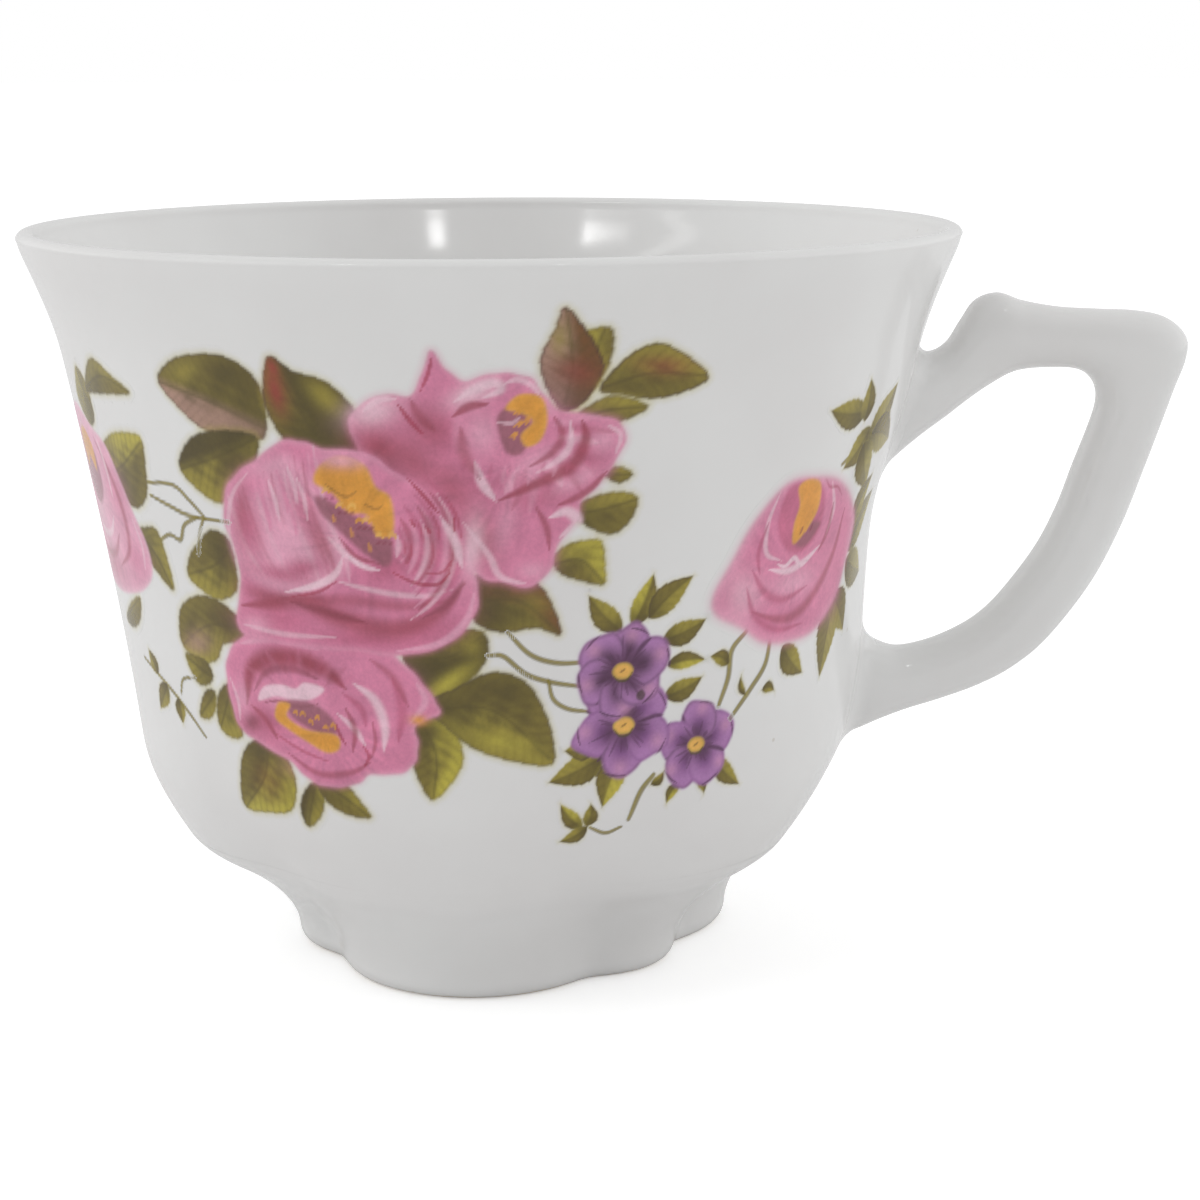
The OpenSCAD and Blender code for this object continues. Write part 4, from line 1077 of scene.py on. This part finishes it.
def paintLowerRose(sheet):
    patch(sheet, [(-28.3, 33.4), (-27.2, 35.6), (-24.6, 37.4), (-20.4, 38.1), (-16, 37.5), (-12, 37.6),
                  (-9.4, 36.8), (-7.4, 35), (-5.9, 33), (-5.4, 31.4), (-7.6, 30.3), (-7.5, 28.4),
                  (-8, 26.6), (-9.6, 25.6), (-12.3, 25.4), (-14, 24.3), (-17, 23.8), (-19.2, 24.4),
                  (-21.2, 25.8), (-25.5, 27.2), (-27.5, 28.2), (-28.2, 30.4)], "pink", 0.2,
          edge=("blush", 0.35, 0.5), ruffle=0.05, halo=0.6)
    wash(sheet, (-25.6, 33.6), (1.9, 1.9), "pink", 0.8)
    brush(sheet, [(-26, 30.6), (-24.6, 34.2), (-20.4, 35.8), (-16.2, 35), (-14.2, 33.4)], 2.3, "deep",
          0.95, 0.9)
    for k in range(14):  # fine strokes fanning over the back petal
        a = math.radians(28 + 10 * k)
        brush(sheet, [(-19 + 4.2 * math.cos(a), 31.6 + 2.6 * math.sin(a)),
                      (-19 + 7.6 * math.cos(a), 31.6 + 5.2 * math.sin(a))], 0.8,
              ("pink", "rose", "deep")[k % 3], 0.24, 1.0)
    brush(sheet, [(-24.8, 32), (-22.6, 34.2), (-19.4, 34.7), (-16.8, 34)], 0.9, "wine", 0.5, 0.9)
    brush(sheet, [(-25.8, 36.4), (-21.4, 37.5), (-16.6, 36.9)], 1.0, "blush", 0.85, 0.8)
    wash(sheet, (-10, 34.4), (2.5, 1.7), "pink", 0.8, -30)
    brush(sheet, [(-13.4, 34), (-11.4, 32.5), (-10.6, 30), (-10.9, 27.6)], 1.1, "pale", 0.85, 0.8)
    brush(sheet, [(-14.6, 33), (-12.8, 31.6), (-12.4, 29.8)], 0.9, "rose", 0.75, 0.8)
    brush(sheet, [(-15.3, 31), (-13.6, 29.6), (-12.6, 28)], 0.7, "pale", 0.75, 0.7)
    brush(sheet, [(-9.6, 34.8), (-8.8, 31.8), (-9.4, 28.6)], 1.2, "rose", 0.75, 0.85)
    brush(sheet, [(-7.4, 34.4), (-6.6, 32.6), (-8, 30.6)], 0.8, "blush", 0.8, 0.8)
    wash(sheet, (-23.4, 29.2), (2.2, 1.6), "rose", 0.75)
    wash(sheet, (-25.6, 28.9), (1.4, 0.9), "wine", 0.75, 20)
    wash(sheet, (-26.6, 31.2), (0.9, 1.5), "blush", 0.7)
    wash(sheet, (-17.6, 25.2), (3.1, 1.0), "pink", 0.8)
    brush(sheet, [(-21.4, 26.6), (-18, 25), (-14.4, 25.4), (-12.2, 26.6)], 0.8, "deep", 0.6, 0.9)
    wash(sheet, (-20.4, 31.6), (2.8, 1.2), "blush", 0.7, -5)
    patch(sheet, [(-24.3, 31.2), (-23.4, 32.6), (-21.2, 33.1), (-19.6, 32.9), (-18.4, 33.6),
                  (-16.4, 33.2), (-17.8, 32.1), (-20, 31.8), (-22, 31.9)], "pale", 0.18, 0.95, True)
    brush(sheet, [(-23.6, 31.1), (-21.4, 31.5), (-19.4, 31.2), (-17.2, 31.7)], 0.4, "wine", 0.6, 0.6)
    patch(sheet, [(-21, 31.5), (-18.5, 31.8), (-16.4, 31), (-15.4, 29.4), (-17, 28.8), (-20, 29.9)],
          "mauve", 0.3, 0.85, True)
    patch(sheet, [(-22.4, 29.8), (-21.8, 31.3), (-20.4, 31.3), (-20.9, 30.1), (-18.8, 29.1),
                  (-15.6, 28.9), (-15.4, 27.6), (-16.8, 27.1), (-18.8, 27.9), (-21, 28.9)], "ochre", 0.22,
          1.0, True, edge=("straw", 0.3, 0.3))
    for k in range(6):
        x, y = -20.2 + 0.8 * k, 30.4 - 0.2 * k + 0.35 * math.sin(k * 2.6)
        brush(sheet, [(x, y), (x + 0.4, y + 0.35), (x + 0.6, y - 0.1)], 0.38, "ochre", 0.8, 0.5)
    brush(sheet, [(-15.6, 30.2), (-15.2, 29), (-14.6, 27.9)], 0.35, "magenta", 0.8, 0.5)
    brush(sheet, [(-13, 28.3), (-12.4, 27.1), (-13, 26)], 0.4, "magenta", 0.7, 0.5)
    brush(sheet, [(-23, 28.4), (-19.6, 27), (-16.4, 26.2)], 0.4, "magenta", 0.5, 0.6)
    wash(sheet, (-7.3, 30.8), (0.8, 0.5), "ochre", 0.9)
    brush(sheet, [(-25.4, 30.6), (-23.6, 29.4), (-22.4, 27.6)], 0.8, "deep", 0.7, 0.8)
    brush(sheet, [(-11.6, 36.4), (-9.4, 34.6), (-8.2, 32)], 0.9, "deep", 0.5, 0.9)
    brush(sheet, [(-14.4, 31.6), (-13.6, 29.6), (-14, 27.4)], 0.7, "deep", 0.7, 0.8)
    brush(sheet, [(-11.8, 30.6), (-11.6, 28.6), (-12.2, 26.8)], 0.5, "deep", 0.6, 0.8)
    brush(sheet, [(-27.9, 33), (-27.2, 30.6), (-27.4, 28.6)], 0.5, "pale", 0.55, 0.7)


def paintBouquet(sheet):
    paintBouquetLeaves(sheet)
    paintUpperRose(sheet)
    grainLines(sheet, (1, 54), 9, 0.05)
    paintLowerRose(sheet)
    grainLines(sheet, (-17, 29), 9, 0.05)
    paintCentreRose(sheet)
    grainLines(sheet, (-12, 48), 11, 0.05)


def paintViolets(sheet):
    stem(sheet, [(1, 39), (3, 36.9), (5.4, 36), (8.2, 35.9)], 0.45)
    stem(sheet, [(-0.8, 36.9), (0.6, 36.8), (2.6, 35.1), (5, 34.2), (8, 33.6)], 0.45)
    stem(sheet, [(4.7, 34.4), (5.2, 32.6), (6.6, 31.6), (8.6, 31.2)], 0.4)
    stem(sheet, [(15.6, 24.6), (14.3, 23), (13.3, 20.4)], 0.5)
    stem(sheet, [(9.3, 19.9), (11, 19.2), (12.6, 19.7)], 0.35)
    leaves = [  # base, tip, width
        ((11.4, 38.6), (8.2, 42.1), 1.2), ((12.5, 39), (14.1, 43.7), 1.15), ((14, 39.6), (18, 43.2), 1.3),
        ((15.6, 37.4), (19.8, 39), 1.2), ((16.2, 35), (20.2, 35.1), 0.85), ((16.2, 32), (20, 33.5), 1.1),
        ((10.4, 26.9), (4.9, 24.7), 1.5), ((12, 26.6), (10.4, 21.9), 1.5), ((9.4, 28), (6.4, 27.6), 1.1),
        ((22.2, 25.4), (25.8, 22.3), 1.0), ((8.4, 20), (6.1, 22.5), 0.85), ((8.9, 20.1), (9.2, 22.3), 0.8),
        ((9, 20), (6.2, 18.7), 0.75), ((18.4, 23.4), (17.2, 21.6), 0.6), ((20.6, 23.4), (21.4, 22.1), 0.5),
        ((15.4, 23.6), (16.7, 24.8), 0.5),
    ]
    for k, (base, tip, width) in enumerate(leaves):
        leafShape(sheet, base, tip, width, "lime" if k % 3 == 1 else "leaf", "olive", 0.25 * (-1) ** k,
                  flip=k % 2 == 0)
    leafShape(sheet, (12.9, 30.8), (14.4, 33.6), 0.9, "umber", "moss")
    violetFlower(sheet, (20, 27), 4.3, 20, throat=0.7)
    violetFlower(sheet, (12.2, 29.6), 4.9, 50)
    violetFlower(sheet, (11.8, 34.8), 4.6, 84, 6, "plum", 0.95)
    patch(sheet, [(13.3, 32.5), (13.8, 32.9), (14.2, 32.4), (13.9, 31.9), (13.4, 32)], "ink", 0.12, 0.8)


def paintRosebud(sheet):
    stem(sheet, [(24.6, 37.2), (23.1, 35.6), (23, 33), (22.2, 30.4)], 0.55)
    stem(sheet, [(27.9, 36.2), (27.6, 33.6), (26, 31.5), (23.8, 29)], 0.55)
    stem(sheet, [(35, 51.5), (37.2, 52.6), (40, 54)], 0.45)
    leaves = [  # base, tip, width
        ((37.6, 56.1), (31.6, 56.9), 1.5), ((37.7, 55.2), (37.3, 59.2), 1.2),
        ((39.4, 54.4), (35.4, 51), 1.5), ((39.6, 52.8), (44.2, 58), 2.0), ((40, 53.8), (46.4, 52.4), 2.0),
        ((38.6, 53), (41.8, 48.4), 1.9), ((40.2, 42.4), (45.6, 47.6), 1.8), ((40, 41.6), (46.4, 39.4), 2.0),
        ((39.8, 45.2), (43.4, 49.4), 1.4), ((38.6, 39.2), (37.2, 30.7), 2.2),
        ((37.8, 38.6), (42, 34.4), 2.0), ((29.8, 35), (33.6, 31.8), 1.4), ((27.6, 31.2), (29.4, 30.8), 0.6),
        ((22.9, 34.4), (20.7, 35.3), 0.8), ((25.4, 31), (24.6, 33), 0.4),
    ]
    for k, (base, tip, width) in enumerate(leaves):
        leafShape(sheet, base, tip, width, "leaf", "olive", 0.3 * (-1) ** k, flip=k % 2 == 0)
    patch(sheet, [(20.4, 41), (22, 44), (24, 47.5), (27.4, 50.6), (31.5, 50.7), (35, 49.9), (38, 48),
                  (40.5, 45), (39.6, 41), (38.4, 38.4), (35, 35.9), (31, 35.4), (27, 35.9), (24, 37.7),
                  (21, 39.2)], "pink", 0.5, edge=("blush", 0.9, 0.6), halo=1.2)
    wash(sheet, (23.8, 40.8), (2.0, 2.4), "pale", 0.5, 20)
    wash(sheet, (37.4, 41), (1.7, 3.4), "pink", 0.75, 10)
    wash(sheet, (31, 37.6), (4.8, 1.4), "pink", 0.8)
    wash(sheet, (26.2, 45.4), (1.6, 3.2), "pink", 0.8, -25)
    wash(sheet, (34.8, 46.6), (1.9, 2.8), "pink", 0.8, 15)
    wash(sheet, (30.2, 41), (3.3, 1.5), "blush", 0.9)
    brush(sheet, [(25, 39), (28, 37.9), (31, 37.8), (34, 39.6), (36.5, 43), (37.3, 47)], 1.3, "deep", 0.6,
          0.9)
    brush(sheet, [(24.4, 43), (26.4, 40.6), (29, 39.6), (32.4, 40.4)], 1.0, "rose", 0.7, 0.9)
    brush(sheet, [(26.4, 42.8), (29, 42.3), (31.4, 42.9), (33.6, 44.1)], 0.8, "pale", 0.9, 0.7)
    brush(sheet, [(26.6, 50), (25.6, 47.2), (25.9, 44.4), (28, 43.4)], 0.6, "pale", 0.7, 0.7)
    brush(sheet, [(33.8, 50.2), (35, 47.4), (34.4, 44.8)], 0.6, "pale", 0.65, 0.7)
    patch(sheet, [(27.6, 50.2), (26.8, 47), (28.4, 44.4), (31, 43.9), (33.2, 46), (32.8, 49.4),
                  (30, 50.6)], "rose", 0.35, 0.75, True)
    patch(sheet, [(29, 45.6), (30, 46.4), (31.8, 46.6), (33, 46.2), (31.6, 44.6), (30, 44.4)], "mauve",
          0.3, 0.8, True)
    patch(sheet, [(28.9, 50.2), (30.4, 50.8), (32, 50.1), (32.3, 48), (31.4, 46.4), (29.4, 44.8),
                  (29, 46.6), (29.4, 48.4)], "ochre", 0.25, 0.95, True, edge=("straw", 0.35, 0.35))
    for k in range(4):
        brush(sheet, [(29.4 + 0.7 * k, 45.6), (29.7 + 0.7 * k, 46.4)], 0.35, "wine" if k % 2 else "ochre",
              0.6, 0.6)
    brush(sheet, [(24, 41.4), (25.4, 38.6), (28.6, 36.8), (32.6, 36.8)], 0.9, "rose", 0.7, 0.9)
    brush(sheet, [(33.4, 43.4), (34.6, 45.4), (34.8, 48)], 0.7, "deep", 0.6, 0.8)
    brush(sheet, [(25.4, 42.4), (24.9, 44.6), (25.7, 47.4)], 0.6, "rose", 0.7, 0.8)
    brush(sheet, [(27.4, 43.2), (28.6, 42.8), (29.8, 43.4), (31, 42.6), (32.6, 43.4)], 0.55, "pale", 0.95,
          0.6)
    brush(sheet, [(32.6, 50.6), (33.6, 49.6), (35, 49.4), (36.2, 48.4)], 0.35, "magenta", 0.5, 0.6)
    grainLines(sheet, (30, 43), 8, 0.04)


def paintSideRose(sheet):
    stem(sheet, [(-34.8, 50.5), (-31, 50.7), (-29, 49.4), (-27.4, 48)], 0.4)
    stem(sheet, [(-34.8, 49.3), (-32, 48.6), (-29.4, 48), (-24.6, 47.9)], 0.4)
    stem(sheet, [(-34.8, 45), (-33, 45.8), (-31.5, 45.5), (-30.5, 47), (-28.4, 48)], 0.4)
    stem(sheet, [(-27.6, 48), (-28.6, 46.4), (-29.3, 44.4)], 0.35)
    stem(sheet, [(-43.5, 32.3), (-41, 31.4), (-38, 30), (-35.4, 28.2), (-33.2, 26.2)], 0.4)
    stem(sheet, [(-36.3, 30), (-35.5, 31.5), (-33.4, 32)], 0.3)
    leafPatch(sheet, [(-47.4, 56.8), (-46.4, 59), (-45, 60.2), (-43.2, 58.8), (-43, 55.6), (-45, 54.6)],
              "leaf", "olive", [(-44, 55), (-45.2, 60)])
    leafPatch(sheet, [(-43.6, 58), (-42.4, 60), (-40, 61.5), (-37, 60.2), (-34.4, 58.8), (-38, 58.3),
                      (-41.5, 58)], "leaf", "olive", [(-43.2, 58.4), (-39, 59.9), (-34.6, 58.9)])
    leafPatch(sheet, [(-42.2, 52.8), (-40.8, 54), (-38.8, 54.7), (-36, 55), (-34.2, 54.6), (-34.6, 51.6),
                      (-35.5, 49), (-38, 47.6), (-40.6, 49)], "lime", "olive", [(-41, 50.6), (-38, 52),
                                                                                (-34.6, 54.2)])
    leafPatch(sheet, [(-38.7, 45.4), (-37, 46), (-35, 46), (-34.2, 43.4), (-34.2, 40.3), (-36.6, 41.8),
                      (-38.2, 43.4)], "leaf", "olive", [(-38, 45), (-36, 43.4), (-34.4, 40.6)])
    leafPatch(sheet, [(-47.6, 35.3), (-45, 37.2), (-41.4, 38.6), (-42.4, 36.2), (-45, 34.9)], "leaf",
              "olive", [(-47.2, 35.5), (-41.8, 38.3)])
    leafShape(sheet, (-38.8, 30.4), (-41.4, 27.6), 1.1)
    leafShape(sheet, (-37, 29.4), (-36.9, 26.9), 0.9)
    leafShape(sheet, (-40.4, 31.2), (-41.8, 33.4), 0.9)
    patch(sheet, [(-52.4, 55.4), (-49, 56.2), (-45.2, 54.6), (-42, 53.2), (-40.4, 50.6), (-39, 47.6),
                  (-37.4, 44.2), (-37.5, 41.4), (-39.8, 39.6), (-43, 38.7), (-47, 38.2), (-52, 38.6),
                  (-55.6, 41.4), (-57, 46), (-55.8, 51.6)], "blush", 0.3, edge=("pale", 0.5, 0.4))
    wash(sheet, (-42, 48.6), (2.2, 2.6), "pink", 0.7)
    wash(sheet, (-40.6, 42.4), (2.2, 1.8), "pink", 0.7)
    wash(sheet, (-48.6, 40.6), (4.2, 1.6), "rose", 0.7)
    wash(sheet, (-53.4, 47.6), (2.2, 3.8), "rose", 0.7)
    brush(sheet, [(-45, 53.4), (-42.4, 50.4), (-41, 46.6), (-41.6, 43), (-45, 41)], 1.1, "deep", 0.6, 0.9)
    brush(sheet, [(-53.6, 43.6), (-50, 41.8), (-46, 42.2), (-43.4, 44.4)], 1.1, "deep", 0.55, 0.9)
    brush(sheet, [(-52, 45.2), (-49.2, 43.8), (-46, 44.2), (-44, 46)], 0.8, "pale", 0.85, 0.7)
    brush(sheet, [(-44.4, 54), (-43.2, 51), (-43, 47.6)], 0.6, "pale", 0.7, 0.7)
    brush(sheet, [(-39.4, 46.8), (-38.4, 44), (-38.7, 41.6)], 0.5, "pale", 0.6, 0.7)
    patch(sheet, [(-51.4, 52.4), (-48.6, 53.6), (-46, 52), (-45.6, 48.6), (-48, 46.6), (-50.8, 47.6)],
          "mauve", 0.35, 0.8, True)
    patch(sheet, [(-51, 53), (-48.4, 54), (-46.2, 52.4), (-46.6, 50), (-48.4, 51.2), (-50.4, 50)],
          "ochre", 0.3, 0.95, True)
    grainLines(sheet, (-48, 47), 10, 0.04)


printing = {
    "cell": 0.185, "fineCell": 0.13,
    "lift": 0.012, "film": 0.03,   # how far the enamel stands out of the glaze, and how thick it is
    # each print: its painting, its sheet (left, right, low, high), cell, mirrored, CAD node, seed
    "sheets": {
        "frontBouquet": (paintBouquet, (-36, 19, 18, 70), "cell", False, "front_bouquet_transfer", 11),
        "frontViolets": (paintViolets, (-2, 27, 17, 45), "fineCell", False, "violet_transfer", 12),
        "frontRosebud": (paintRosebud, (19, 48.5, 28, 61), "fineCell", False, "rosebud_transfer", 13),
        "sideRose": (paintSideRose, (-58.5, -23.5, 24.5, 62.5), "cell", False, "side_rose_transfer", 14),
        "backBouquet": (paintBouquet, (-36, 19, 18, 70), "cell", True, "back_bouquet_transfer", 15),
        "backViolets": (paintViolets, (-2, 27, 17, 45), "fineCell", True, "back_violet_transfer", 16),
    },
    "wrap": 38.5,     # the drawing's millimetres to an angle
    "minCover": 0.012,
    "gain": 1.28,     # the palette is the print in soft room light; this brings it to full light
}
roseEnamel = firedEnamel("rose and leaf ceramic enamel", 0.34)
violetEnamel = firedEnamel("violet ceramic enamel", 0.3)


def firePrint(name, draw, area, cell, mirrored, node, seed):
    sheet = newSheet(*area, printing[cell], seed)
    draw(sheet)
    v = sheet["v"]
    theta = sheet["u"] / printing["wrap"]
    colour = np.clip(sheet["colour"] * printing["gain"], 0, 1)
    cover = np.clip(sheet["cover"], 0, 1)
    if mirrored:  # the back print is the same drawing seen in a looking glass
        theta, colour, cover = math.pi - theta[:, ::-1], colour[:, ::-1], cover[:, ::-1]
    piece = bendGrid(name, around(theta, sideRadius(theta, v) + printing["lift"], v))
    paintLayer = piece.data.attributes.new("paint", "FLOAT_COLOR", "POINT")
    solid = np.concatenate([colour, np.ones(cover.shape + (1,))], axis=-1)
    paintLayer.data.foreach_set("color", solid.astype(np.float32).reshape(-1))
    coverLayer = piece.data.attributes.new("cover", "FLOAT", "POINT")
    coverLayer.data.foreach_set("value", cover.astype(np.float32).reshape(-1))
    # bare sheet is cut away, but for one row of cells round the paint
    kept = cover > printing["minCover"]
    grown = kept.copy()
    grown[1:] |= kept[:-1]
    grown[:-1] |= kept[1:]
    grown[:, 1:] |= kept[:, :-1]
    grown[:, :-1] |= kept[:, 1:]
    bpy.ops.object.mode_set(mode="EDIT")
    bpy.ops.mesh.select_mode(type="VERT")
    bpy.ops.mesh.select_all(action="DESELECT")
    bpy.ops.object.mode_set(mode="OBJECT")
    piece.data.vertices.foreach_set("select", ~grown.reshape(-1))
    bpy.ops.object.mode_set(mode="EDIT")
    bpy.ops.mesh.delete(type="VERT")
    bpy.ops.mesh.select_all(action="SELECT")
    bpy.ops.mesh.delete_loose(use_verts=True, use_edges=True, use_faces=False)
    bpy.ops.object.mode_set(mode="OBJECT")
    film = piece.modifiers.new("film", "SOLIDIFY")
    film.thickness = printing["film"] * mm
    film.offset = -1
    bpy.ops.object.modifier_apply(modifier="film")
    bpy.ops.object.shade_smooth_by_angle(angle=math.radians(40))
    finish, slot = (violetEnamel, "violet_enamel") if draw is paintViolets else (roseEnamel, "rose_enamel")
    piece.data.materials.append(finish)
    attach(piece, "root")
    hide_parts(node)
    print("fired", name, len(piece.data.polygons), "faces")


for name, row in printing["sheets"].items():
    firePrint(name, *row)
